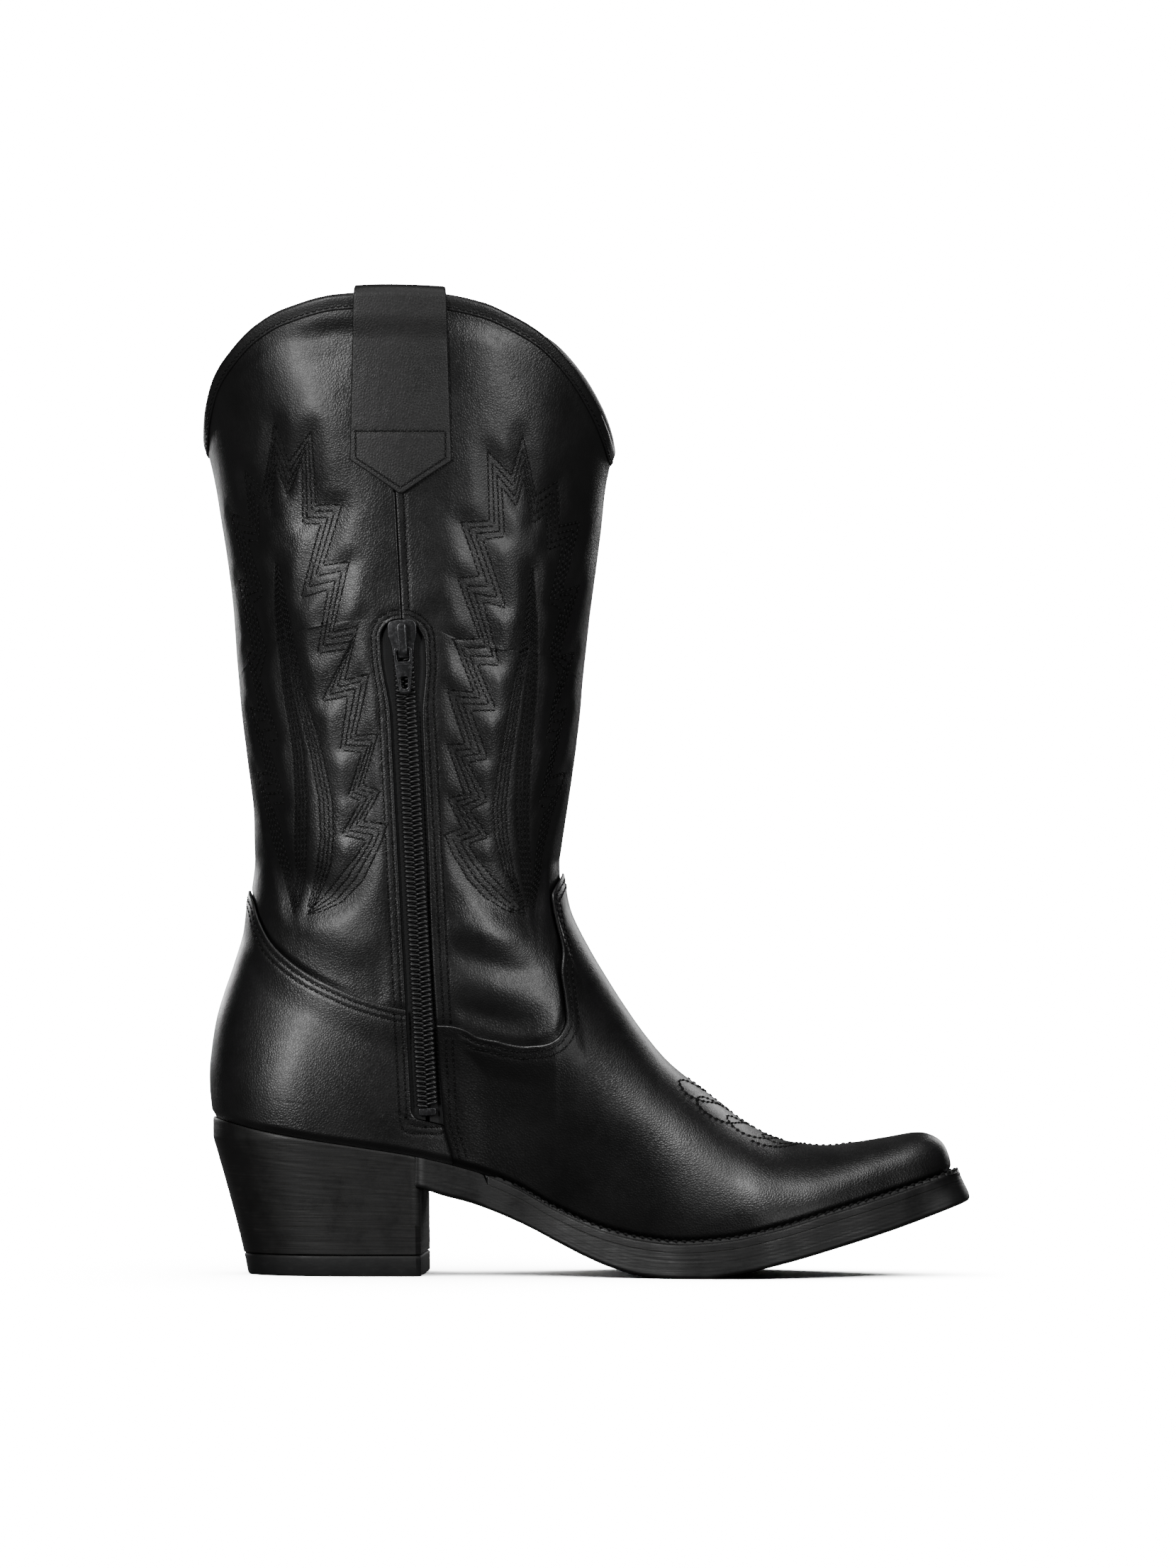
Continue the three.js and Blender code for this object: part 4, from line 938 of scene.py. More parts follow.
def split_at_corners(row):
    """The smooth stretches of a polyline, cut where it turns sharply."""
    ahead = unit(np.diff(row, axis=0))
    sharp = np.nonzero((ahead[1:] * ahead[:-1]).sum(1) < SHARP_CORNER)[0] + 1
    ends = [0, *sharp.tolist(), len(row) - 1]
    return [row[a:b + 1] for a, b in zip(ends[:-1], ends[1:], strict=True)]


def ornament_runs(pairs):
    """Smooth stretches of every row on both sides of a shaft panel, as runs of skin points."""
    runs = []
    for number, row in enumerate(ornament(pairs)):
        row = row[np.r_[True, np.linalg.norm(np.diff(row, axis=0), axis=1) > 0.05]]
        for stretch in split_at_corners(row):
            if np.linalg.norm(np.diff(stretch, axis=0), axis=1).sum() > 1.0:
                leg = along(stretch, STITCH_PITCH / 4)[2 * (number % 2):]
                runs += [side_skin(leg[:, 0], leg[:, 1], side)[0] for side in (MEDIAL, LATERAL)]
    return runs


def seam_run(z, distance, side=MEDIAL):
    z = np.asarray(z, float)
    return side_skin(seam_x(z) + distance, z, side)[0]


def window_run(direction, row, low):
    """A stitch row beside the zip's window, from a height up to the middle of its arch."""
    z = np.arange(low, ARCH_Z, 0.7)
    inset = lerp(ROW_INSETS[row], TOP_ROW_INSETS[row], smoothstep(z, 195, 225))
    distance = direction * (window_half(z) + inset)
    turn = np.linspace(0, math.pi / 2 * 0.97, 16)
    reach = TOP_ROW_INSETS[row]
    arch_z = ARCH_Z + (ARCH_RISE + reach) * np.sin(turn)
    arch_d = direction * (window_half(ARCH_Z) + reach) * np.cos(turn)
    return seam_run(np.r_[z, arch_z], np.r_[distance, arch_d])


def edge_run(top, turns, depth):
    """A row that follows a cover's top edge at a depth below it."""
    turn = np.linspace(*turns, 500)
    level = top(turn)
    at = skin(turn, level)
    ahead = unit(np.gradient(at, axis=0))
    down = unit(np.cross(ahead, skin_frame(turn, level)[0]))
    return at + down * depth


VAMP_SIDE_Z, COUNTER_SIDE_Z = 91.5, 97.0
LAP_SEAM_DISTANCE = 5.9


def lap_distance(z):
    """Distance from the seam line to the vamp's back edge on the zip side."""
    return LAP_SEAM_DISTANCE + 2.8 * (1 - smoothstep(z, 42, 57))


ornament_front = ornament_runs([
    (FRONT_FLAME_OUTER, FRONT_FLAME_INNER), FRONT_LEAF_ZIP, FRONT_LEAF_FRONT,
])
ornament_back = ornament_runs([
    (BACK_FLAME_OUTER, BACK_FLAME_INNER), BACK_LEAF_REAR, BACK_LEAF_ZIP,
])
plain_front = [window_run(1, k, VAMP_SIDE_Z + 1) for k in (0, 1)]
plain_front += [seam_run(np.arange(243.5, SEAM_ROW_TOP, 0.7), SEAM_ROW)]
plain_front += [seam_run(np.arange(VAMP_SIDE_Z + 1, SEAM_ROW_TOP, 0.7), SEAM_ROW, LATERAL)]
plain_back = [window_run(-1, k, COUNTER_SIDE_Z + 1) for k in (0, 1)]


def foot_window_run(row):
    """Down beside the window and across below it, to the vamp's edge."""
    inset = ROW_INSETS[row]
    corner, foot = -(WINDOW_HALF + inset), WINDOW_FOOT_Z - inset
    path = along([
        (corner, COUNTER_SIDE_Z - 1.5), (corner, foot + 4), (corner + 1.4, foot + 1.2),
        (corner + 4, foot), (LAP_SEAM_DISTANCE - 0.4, foot),
    ])
    return side_skin(seam_x(path[:, 1]) + path[:, 0], path[:, 1], MEDIAL)[0]


def lap_run(inset):
    z = np.arange(43.5, VAMP_SIDE_Z - 3.5, 0.7)
    return seam_run(z, lap_distance(z) + inset)


plain_counter = [foot_window_run(0), foot_window_run(1)]
plain_counter += [edge_run(counter_top, (92, 265.5), depth) for depth in EDGE_ROWS]
plain_vamp = [lap_run(2.1), lap_run(4.5)]
plain_vamp += [edge_run(vamp_top, (-82.5 + depth, 88), depth) for depth in EDGE_ROWS]
plain_vamp += [seam_run(np.arange(44, VAMP_SIDE_Z - 4, 0.7), inset, LATERAL) for inset in (2.2, 4.4)]

# ------------------------------------------------------------------ leather of the upper

# Soft folds at the ankle: (x, z) of both ends, height, half width.
FOLDS = [
    ((-52, 119), (-24, 111), -0.75, 4.2), ((-48, 108), (-20, 101), 0.7, 5.5),
    ((-44, 137), (-18, 133), -0.7, 6.0), ((-118, 150), (-92, 139), -0.8, 6.5),
    ((-110, 134), (-84, 121), 0.8, 7.0), ((-46, 98), (-26, 92), -0.6, 3.6),
    ((-44, 128), (-30, 123), 0.6, 4.0), ((-100, 262), (-84, 238), 0.7, 11.0),
    ((-56, 262), (-44, 240), 0.6, 10.0), ((-108, 330), (-92, 300), 1.2, 12.0),
    ((-46, 335), (-28, 305), 1.0, 12.0), ((-92, 345), (-90, 322), -0.9, 8.0),
]


def swell(at):
    """Slow unevenness of soft leather, in millimetres."""
    x, y, z = at[..., 0], at[..., 1], at[..., 2]
    slow = 0.55 * np.sin(x / 17 + z / 23 + 1) * np.sin(z / 31 - y / 19)
    quick = 0.13 * np.sin(x / 7.3 - z / 12.1 + y / 15) + 0.09 * np.sin(z / 6.1 + x / 11.7 + y / 8)
    return slow + quick


def folds(at):
    total = np.zeros(at.shape[:-1])
    flat = at[..., [0, 2]]
    for start, end, height, width in FOLDS:
        a, b = np.array(start, float), np.array(end, float)
        share = np.clip(((flat - a) @ (b - a)) / ((b - a) @ (b - a)), 0, 1)
        near = a + share[..., None] * (b - a)
        apart = np.linalg.norm((flat - near) * (0.55, 1.0), axis=-1)
        total += height * np.exp(-((apart / width) ** 2)) * (1 - 0.6 * np.abs(share - 0.5))
    return total


def groove(distance, depth=0.2):
    return -depth * np.exp(-((distance / 0.65) ** 2))


SOFTNESS = 1.5


def blur(shares, length):
    """Weights that smooth values held at shares of a length in millimetres."""
    apart = (shares[:, None] - shares[None]) * length / SOFTNESS
    weight = np.exp(-(apart**2) / 2) * np.gradient(shares)[None]
    return weight / weight.sum(1, keepdims=True)


def softened(field, rows, columns, size):
    """A sheet's grid of heights, smoothed."""
    width, height = size
    return blur(rows, height) @ field @ blur(columns, width).T


def quilting(distance):
    """Leather sinks along the ornament and puffs up beside it."""
    sunk = lerp(-0.4, 0.34, smoothstep(distance, 0.6, 5.5))
    return lerp(sunk, 0.0, smoothstep(distance, 7, 26))


def tree_of(runs):
    return near_tree(np.concatenate(runs))


def border_distance(rows, columns, width, height):
    """Rough distance of each grid point to the sheet's border, in millimetres."""
    across = np.minimum(columns, 1 - columns)[None, :] * width
    upward = np.minimum(rows, 1 - rows)[:, None] * height
    return np.minimum(across, upward)


def add_sheet(
    name, node, material, grid, offset, thick, columns, rows, size, radius=0.55,
):
    """A leather sheet over the skin. Returns its outer grid of points."""
    turn, level = grid
    at = skin(turn, level)
    out = skin_frame(turn, level)[0]
    drop = rounded(border_distance(np.asarray(rows), np.asarray(columns), *size), radius)
    outer = at + out * (offset(at, turn, level) - drop)[..., None]
    inner = at + out * (offset(at, turn, level) - thick + 0.3 * drop)[..., None]
    add_piece(name, shell(name, outer, inner), material, [node] if node else [])
    return outer


def seam_z(level):
    return seam_point(level)[..., 1]


def arch_gap(z):
    """Distance from the seam line to the leather: the zip's window, closed above its arch."""
    t = np.clip((z - ARCH_Z) / ARCH_RISE, 0, 1)
    half = window_half(z) * np.sqrt(1 - t * t)
    return np.where(z > ARCH_Z + ARCH_RISE - 0.05, SIDE_SEAM_GAP, half)


def shaft_front_turns(level):
    z = seam_z(level)
    return (
        -90 + turn_from_seam(arch_gap(z), True, level),
        90 - turn_from_seam(SIDE_SEAM_GAP, True, level),
    )


def shaft_back_turns(level):
    z = seam_z(level)
    return (
        90 + turn_from_seam(SIDE_SEAM_GAP, False, level),
        270 - turn_from_seam(arch_gap(z), False, level),
    )


def vamp_turns(level):
    z = seam_z(level)
    return (
        -90 + turn_from_seam(lap_distance(z), True, level),
        90 - turn_from_seam(SIDE_SEAM_GAP, True, level),
    )


CORNER_RADIUS = 3.6


def counter_turns(level):
    z = seam_z(level)
    t = np.clip((WINDOW_FOOT_Z + CORNER_RADIUS - z) / CORNER_RADIUS, 0, 1)
    beside = WINDOW_HALF - CORNER_RADIUS * (1 - np.sqrt(1 - t * t))
    below = turn_from_seam(lap_distance(z) + 1.6, True, level)
    end = np.where(z > WINDOW_FOOT_Z, -turn_from_seam(beside, False, level), below)
    return 90 + turn_from_seam(SIDE_SEAM_GAP, False, level), 270 + end


def with_rows(rows, extra):
    return np.unique(np.r_[rows, extra])


SHAFT_ROWS, SHAFT_COLUMNS = ((240, 230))
SHAFT_LAP = 0.013
SHAFT_MM_PER_LEVEL = 250.0
RIM_LEVEL = 0.9992
arch_level = float(level_of_seam(ARCH_Z + ARCH_RISE))
KNEE_SHARE = 0.55
KNEE_ROWS = KNEE_SHARE + np.array([-0.002, -0.0008, -0.0002, 0, 0.0005])
tree_ornament_front, tree_ornament_back = tree_of(ornament_front), tree_of(ornament_back)
tree_plain_front, tree_plain_back = tree_of(plain_front), tree_of(plain_back)
tree_vamp, tree_counter = tree_of(plain_vamp), tree_of(plain_counter)


def near_window(at, reach=3.0):
    """1 beside the zip's window on the zip side, fading away from it."""
    apart = np.abs(at[..., 0] - seam_x(at[..., 2])) - window_half(at[..., 2])
    above = smoothstep(at[..., 2] - ARCH_Z - ARCH_RISE, 0, 9)
    return (at[..., 1] < 0) * (1 - above) * (1 - smoothstep(apart, reach, reach * 3.5))


def shaft_offset(top, ornament_tree, plain_tree, rows, columns, size):
    def offset(at, turn, level):
        under = smoothstep((top(turn) - level) * SHAFT_MM_PER_LEVEL, -2.5, 0.5)
        distance = distance_to(ornament_tree, at)
        relief = softened(quilting(distance), rows, columns, size) + groove(distance, 0.13)
        soft = swell(at) + folds(at)
        calm = np.maximum(near_window(at), smoothstep(at[..., 2] - rim_height(at[..., 0]), -14, -6))
        height = (relief + soft) * (1 - calm) + groove(distance_to(plain_tree, at), 0.22)
        return lerp(height, -0.45, under)

    return offset


def shaft_grid(turns, top, width, height):
    columns = edge_shares(SHAFT_COLUMNS, width)
    rows = with_rows(edge_shares(SHAFT_ROWS, height), KNEE_ROWS)
    grid = sheet_grid(
        turns, lambda turn: (top(turn) - SHAFT_LAP, RIM_LEVEL), columns, rows, (KNEE_SHARE, arch_level),
    )
    return grid, columns, rows


def add_shaft(node, turns, top, ornament_tree, plain_tree, size):
    grid, columns, rows = shaft_grid(turns, top, *size)
    offset = shaft_offset(top, ornament_tree, plain_tree, rows, columns, size)
    return add_sheet(f"{node}_leather", node, black_leather, grid, offset, 1.2, columns, rows, size)


# Width and height of each half of the upper, in millimetres.
SHAFT_FRONT_SIZE, SHAFT_BACK_SIZE = (170, 230), (165, 235)
VAMP_SIZE, COUNTER_SIZE = (330, 75), (170, 70)
outer_front = add_shaft(
    "shaft_front", shaft_front_turns, vamp_top, tree_ornament_front, tree_plain_front, SHAFT_FRONT_SIZE,
)
outer_back = add_shaft(
    "shaft_back", shaft_back_turns, counter_top, tree_ornament_back, tree_plain_back, SHAFT_BACK_SIZE,
)

EDGE_RISE = 0.85
COVER_BASE = 0.45


def tuck(at):
    """The leather draws in where it is lasted over the sole."""
    return 1.1 * (1 - smoothstep(at[..., 2] - feather(at[..., 0]), 0.2, 3.4))


def vamp_offset(at, turn, level):
    depth = (vamp_top(turn) - level) * skin_frame(turn, level)[2]
    edge = 1 - smoothstep(depth, 4, 17)
    ahead = at[..., 0] - seam_x(at[..., 2])
    side_edge = (1 - smoothstep(ahead, 10, 22)) * (at[..., 1] < 0)
    sewn = groove(distance_to(tree_vamp, at), 0.2)
    soft = 0.45 * swell(at) * smoothstep(depth, 5, 20)
    return COVER_BASE + EDGE_RISE * np.maximum(edge, side_edge) + sewn + soft - tuck(at)


def counter_offset(at, turn, level):
    depth = (counter_top(turn) - level) * skin_frame(turn, level)[2]
    edge = 1 - smoothstep(depth, 4, 17)
    ahead = at[..., 0] - seam_x(at[..., 2])
    under = smoothstep(ahead, 2.5, 5.0) * (at[..., 1] < 0)
    sewn = groove(distance_to(tree_counter, at), 0.2)
    soft = 0.35 * swell(at) * smoothstep(depth, 5, 20)
    return COVER_BASE + EDGE_RISE * edge + sewn + soft - 0.75 * under - tuck(at)


COVER_ROWS, COVER_COLUMNS = ((120, 260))
columns = edge_shares(COVER_COLUMNS, VAMP_SIZE[0])
rows = edge_shares(COVER_ROWS, VAMP_SIZE[1]) ** 1.35
grid = sheet_grid(vamp_turns, lambda turn: (FEATHER_LEVEL, vamp_top(turn)), columns, rows)
outer_vamp = add_sheet(
    "vamp_leather", "vamp", vamp_black, grid, vamp_offset, 1.0, columns, rows, VAMP_SIZE, 0.5,
)
foot_share = float(
    (level_of_seam(WINDOW_FOOT_Z) - FEATHER_LEVEL) / (counter_top(np.array(268.0)) - FEATHER_LEVEL)
)
columns = edge_shares(COVER_COLUMNS // 2, COUNTER_SIZE[0])
rows = with_rows(
    edge_shares(COVER_ROWS, COUNTER_SIZE[1]),
    foot_share + np.array([-0.01, -0.0006, 0.0006, 0.006, 0.015, 0.03, 0.05]),
)
grid = sheet_grid(counter_turns, lambda turn: (FEATHER_LEVEL, counter_top(turn)), columns, rows)
outer_counter = add_sheet(
    "counter_cover_leather", "counter_cover", vamp_black, grid, counter_offset, 1.0,
    columns, rows, COUNTER_SIZE, 0.5,
)

# ------------------------------------------------------------------ stiffeners between the layers

def fixed(low, high):
    """Borders that are the same all along, for sheet_grid."""
    return lambda other: (low + 0 * other, high + 0 * other)


BOARD_SIZE = (90, 50)
STIFFENERS = [
    ("counter_board", "counter_stiffener", (100.0, 260.0), lambda turn: (0.03, counter_top(turn) - 0.05)),
    ("toe_board", "toe_puff", (-45.0, 45.0), fixed(0.012, 0.078)),
]
for name, node, ends, levels in STIFFENERS:
    columns, rows = edge_shares(60, BOARD_SIZE[0]), edge_shares(30, BOARD_SIZE[1])
    grid = sheet_grid(fixed(*ends), levels, columns, rows)
    add_sheet(
        name, node, board_tan, grid, lambda at, turn, level: -1.1 + 0.2 * swell(at), 1.0,
        columns, rows, BOARD_SIZE, 0.4,
    )

# ------------------------------------------------------------------ linings

LINING_SPLIT = 0.34
LINING_SEAM = 0.003
LINING_OPENING = 14.0
LINING_KNEE_SHARE = 0.5
LINING_ARCH_Z = ARCH_Z + ARCH_RISE + 3


def lining_turns(in_front):
    def turns(level):
        z = seam_z(level)
        half = np.where(z < LINING_ARCH_Z, LINING_OPENING, SIDE_SEAM_GAP)
        gap = turn_from_seam(half, in_front, level)
        closed = turn_from_seam(SIDE_SEAM_GAP, in_front, level)
        return (-90 + gap, 90 - closed) if in_front else (90 + closed, 270 - gap)

    return turns


LINING_PIECES = [
    ("lining_front", True, LINING_SPLIT + LINING_SEAM, RIM_LEVEL, SHAFT_FRONT_SIZE),
    ("lining_back", False, LINING_SPLIT + LINING_SEAM, RIM_LEVEL, SHAFT_BACK_SIZE),
    ("vamp_lining", True, FEATHER_LEVEL, LINING_SPLIT, (330, 70)),
    ("heel_lining", False, FEATHER_LEVEL, LINING_SPLIT, (170, 90)),
]
for node, in_front, low, high, size in LINING_PIECES:
    columns, rows = edge_shares(60, size[0]), edge_shares(60, size[1])
    knee = None
    if high == RIM_LEVEL:
        knee = (LINING_KNEE_SHARE, level_of_seam(LINING_ARCH_Z))
        rows = with_rows(rows, LINING_KNEE_SHARE + np.array([-0.0005, 0.0005]))
    grid = sheet_grid(lining_turns(in_front), fixed(low, high), columns, rows, knee)
    add_sheet(
        f"{node}_leather", node, lining_black, grid, lambda at, turn, level: 0.4 * swell(at) - 2.5, 0.8,
        columns, rows, size, 0.3,
    )

# ------------------------------------------------------------------ bindings and pull straps


def rim_point(turn, offset, height):
    _, up, per_level = skin_frame(turn, np.ones_like(turn))
    level = 1 + np.minimum(height, 0) / per_level
    below = skin_offset(turn, level, offset)
    return below + up * np.maximum(height, 0)[..., None]


# (height, offset) of the binding's outer and inner faces, from its outer leg over the rim.
BINDING_OUTER = np.array([
    (-4.6, 0.05), (-4.6, 0.3), (-4.4, 0.5), (-4.0, 0.58), (-3.4, 0.5), (-2.4, 0.68), (-1.2, 0.85),
    (-0.2, 0.9), (0.6, 0.85), (1.05, 0.1), (1.2, -0.8), (1.22, -1.65), (1.2, -2.5), (1.05, -3.4), (0.6, -4.1),
    (-0.2, -4.5), (-1.5, -4.6), (-3.2, -4.6), (-4.7, -4.55), (-5.0, -4.2),
])
BINDING_INNER = np.array([
    (-4.55, 0.0), (-4.5, 0.0), (-4.4, 0.0), (-4.0, 0.0), (-3.4, 0.0), (-2.4, 0.0), (-1.2, 0.0),
    (-0.2, 0.0), (0.1, 0.0), (0.2, -0.2), (0.3, -0.8), (0.3, -1.65), (0.3, -2.5), (0.2, -3.4), (0.1, -3.7),
    (-0.2, -3.8), (-1.5, -3.8), (-3.2, -3.8), (-4.6, -3.8), (-4.8, -3.8),
])


def add_binding(name, node, start, end):
    turn = np.linspace(start, end, 200)
    shape = (len(BINDING_OUTER), len(turn))
    grids = []
    for section in (BINDING_OUTER, BINDING_INNER):
        height = np.broadcast_to(section[:, :1], shape)
        offset = np.broadcast_to(section[:, 1:], shape)
        grids.append(rim_point(np.broadcast_to(turn, shape), offset, height))
    add_piece(name, shell(name, *grids, sharp_deg=60), rim_black, [node])
    return grids[0]


rim_front = add_binding("rim_binding_front", "top_binding_front", -89.8, 89.8)
rim_back = add_binding("rim_binding_back", "top_binding_back", 90.2, 269.8)

STRAP_X = -65.4
STRAP_HALF = 16.6
STRAP_FLARE = 1.7  # the outer leg grows this much wider on each side
STRAP_SHOULDER, STRAP_TIP, STRAP_INNER = 59.0, 72.0, 45.0
STRAP_THICK = 1.5
STRAP_CREASE = 49.0  # depth of the box's upper stitches
LOOP_RADIUS = 3.9
LOOP_CENTRE = -1.6


def strap_grid(side, face):
    """Points of one face of a pull strap. face is 0 on the outer face, 1 on the inner."""
    across = lerp(-1, 1, edge_shares(26, 2 * STRAP_HALF))[None, :]
    outer_leg = edge_shares(90, 72)[:-1][::-1]
    loop = np.linspace(0, math.pi, 25)
    inner_leg = np.linspace(0, 1, 30)[1:]
    if side > 0:
        across = -across
    x = STRAP_X + STRAP_HALF * across
    z_rim = rim_height(x)
    length = STRAP_SHOULDER + (STRAP_TIP - STRAP_SHOULDER) * (1 - np.abs(across))
    half = half_width(x, z_rim, side)
    slope = (half - half_width(x, z_rim - 2, side)) / 2
    up = unit(np.stack([0 * x, side * slope, 0 * x + 1], -1))
    rim_at = np.stack([x, side * half, z_rim], -1)
    rim_out = side_skin(x, z_rim - 0.5, side)[1]
    drop = rounded((1 - np.abs(across)) * STRAP_HALF, 0.6)
    rows = []
    for share in outer_leg:
        depth = share * length
        rest = lerp(1.6, 0.55, smoothstep(depth, 6, 16)) + STRAP_THICK * (1 - face)
        tip = rounded(length - depth, 0.6) * (1 - face)
        dimple = -0.12 * np.exp(-(((depth - STRAP_CREASE) / 0.8) ** 2)) * (1 - face)
        offset = rest - drop * (1 - face) - tip + dimple
        wider = x + STRAP_FLARE * across * np.clip(depth / STRAP_SHOULDER, 0, 1)
        rows.append(side_skin(wider, z_rim - depth, side, offset)[0])
    for angle in loop:
        radius = LOOP_RADIUS - STRAP_THICK * face - drop * (1 - face)
        height = radius * math.sin(angle)
        offset = LOOP_CENTRE + radius * math.cos(angle)
        rows.append(rim_at + up * np.asarray(height)[..., None] + rim_out * np.asarray(offset)[..., None])
    for share in inner_leg:
        offset = LOOP_CENTRE - LOOP_RADIUS + STRAP_THICK * face + 0 * x
        rows.append(side_skin(x, z_rim - share * STRAP_INNER, side, offset)[0])
    return np.concatenate(rows)


def add_strap(name, node, side):
    outer, inner = strap_grid(side, 0), strap_grid(side, 1)
    add_piece(name, shell(name, outer, inner, sharp_deg=60), strap_black, [node])
    return outer


strap_medial = add_strap("pull_strap_medial_leather", "pull_strap_medial", MEDIAL)
strap_lateral = add_strap("pull_strap_lateral_leather", "pull_strap_lateral", LATERAL)

# ------------------------------------------------------------------ threads


def surface_of(*grids):
    parts = []
    for grid in grids:
        index = np.arange(grid[..., 0].size).reshape(grid.shape[:2])
        parts.append((grid.reshape(-1, 3), [grid_faces(index)]))
    verts, faces = merged(parts)
    return BVHTree.FromPolygons(verts.tolist(), faces[0].tolist())


def settle(runs, surface, pitch=STITCH_PITCH):
    """Stitch frames of each run, laid on a surface."""
    laid = []
    for run in runs:
        centre, ahead, _, step = stitch_frames(run, run, pitch)
        found = [surface.find_nearest(c) for c in centre]
        at = np.array([f[0] for f in found])
        out = unit(np.array([f[1] for f in found]))
        laid.append((at, unit(ahead - out * (ahead * out).sum(1, keepdims=True)), out, step))
    return laid


def box_runs(side):
    corners = [(-16, 307), (16, 307), (16, 297.4), (0, 286.7), (-16, 297.4), (-16, 307)]
    runs = []
    for a, b in zip(corners[:-1], corners[1:], strict=True):
        leg = along([a, b])
        runs.append(side_skin(STRAP_X + leg[:, 0], leg[:, 1], side, 1.9)[0])
    return runs


def rim_run(start, end):
    turn = np.linspace(start, end, 700)
    return rim_point(turn, np.full_like(turn, 0.5), np.full_like(turn, -3.4))


# Toe medallion: one side of it in plan, (x, y). The other side mirrors it.
MEDALLION = [
    [(93, 0.2), (84, 0.3), (76, 0.2)],
    [(76, 0.2), (71, 6.2), (65.5, 10.6), (61, 9.8), (60.5, 5.4), (64, 2.2), (68, 0.5)],
    [(66, 1), (61, 11.4), (54.5, 16.6), (49, 16), (47.5, 11.2), (51, 6.2), (57, 2.6)],
    [(73, 4.9), (68, 13), (61, 18), (56, 19)],
    [(54, 4), (48.5, 15.8), (42, 19.6), (37, 17.8), (37.5, 12.4), (42, 7.2), (48, 2.8)],
    [(45, 4.2), (39, 13.6), (33, 16.2), (30, 12), (33, 6.4), (39, 2.2)],
    [(60, 0.4), (50, 0.6), (40, 0.4), (32, 0.2)],
]


MEDALLION_SCALE, MEDALLION_X = (1, 0.92), 4


def medallion_runs(surface):
    runs = []
    for line in MEDALLION:
        path = outline_table(line, 60) * MEDALLION_SCALE + (MEDALLION_X, 0)
        for side in (MEDIAL, LATERAL):
            hits = [surface.ray_cast((x, side * y, 150.0), (0, 0, -1))[0] for x, y in path]
            runs.append(np.array([tuple(h) for h in hits if h is not None]))
    return runs


surface_front, surface_back = surface_of(outer_front), surface_of(outer_back)
surface_vamp, surface_counter = surface_of(outer_vamp), surface_of(outer_counter)
surface_straps = surface_of(strap_medial, strap_lateral)
surface_rim = surface_of(rim_front, rim_back)
add_stitching("shaft_front", settle(ornament_front + plain_front, surface_front))
add_stitching("shaft_back", settle(ornament_back + plain_back, surface_back))
add_stitching("vamp", settle(plain_vamp, surface_vamp))
add_stitching("medallion", settle(medallion_runs(surface_vamp), surface_vamp, WIDE_PITCH), 0.36)
add_stitching("counter", settle(plain_counter, surface_counter))
add_stitching("straps", settle(box_runs(MEDIAL) + box_runs(LATERAL), surface_straps, WIDE_PITCH))
add_stitching("rim", settle([rim_run(-81, 81), rim_run(99, 261)], surface_rim, WIDE_PITCH))

# ------------------------------------------------------------------ sole, welt and heel


def sole_widening(x):
    forefoot = smoothstep(x, -43, -23)
    return lerp(1.03, 1.11, forefoot) + 0.16 * smoothstep(x, 85, 125)


def sole_half(x, side):
    """Half width of the sole on each side."""
    halves = [plan_half(x, one, SOLE_TOE_X, SOLE_HEEL_X) for one in (-1, 1)]
    return np.where(side < 0, *halves) * sole_widening(x)


def inward_of(ahead):
    """Directions to the left of a run of plan directions."""
    ahead = unit(ahead)
    return np.stack([-ahead[:, 1], ahead[:, 0]], -1)


def ring_inward(at):
    return inward_of(np.roll(at, -1, 0) - np.roll(at, 1, 0))


def plan_ring(inset, count=420):
    """The outsole's outline in plan, drawn in by an inset."""
    turn = np.linspace(0, math.tau, count, endpoint=False)
    middle = (SOLE_TOE_X + SOLE_HEEL_X) / 2
    x = middle + (SOLE_TOE_X - middle) * np.cos(turn)
    side = np.where(np.sin(turn) < 0, -1.0, 1.0)
    at = np.stack([x, side * sole_half(x, side)], -1)
    for _ in range(2):
        gap = np.linalg.norm(np.roll(at, -1, 0) - at, axis=1)
        run = np.r_[0, np.cumsum(gap)]
        closed = np.concatenate([at, at[:1]])
        even = np.linspace(0, run[-1], count, endpoint=False)
        at = np.column_stack([np.interp(even, run, closed[:, k]) for k in (0, 1)])
    depth = inset(at[:, 0]) if callable(inset) else np.full(count, float(inset))
    return at + ring_inward(at) * depth[:, None]


def ring_stack(name, rings, sharp_deg=50):
    """A closed solid from plan rings of one point count, listed from the bottom face's middle out,
    up the side, and in to the top face's middle."""
    verts, faces = closed_tube(np.array(rings)[:, ::-1])
    return new_mesh(name, verts, faces, sharp_deg)


def sole_ring(inset, height):
    at = plan_ring(inset)
    return np.column_stack([at, height(at[:, 0])])


def outsole_top(x):
    return feather(x) - lerp(-0.1, WELT_THICKNESS + 0.02, smoothstep(x, WELT_END_X - 2, WELT_END_X))


def between(share):
    return lambda x: lerp(sole_bottom(x), outsole_top(x), share)


def scratches(x, seed):
    """Depth of the fine irregular lines left by trimming and sanding an edge."""
    own = seed * seed
    slow = np.sin(x / 23 + 5.1 * own) + np.sin(x / 9.7 + 2.3 * own)
    return 0.014 * (1 + np.sin(own * 7.7)) + 0.02 * np.clip(slow, 0, 2)


def toe_bevel(x, share):
    """The sole's edge slopes back at the toe tip: share is 0 at its foot and 1 at the welt's top."""
    return 3.6 * smoothstep(x, 124, 138) * smoothstep(share, 0.0, 1.0)


SEAT_INSET = 1.8


def at_heel(x):
    return 1 - smoothstep(x, BREAST_X - 2.5, BREAST_X + 0.3)


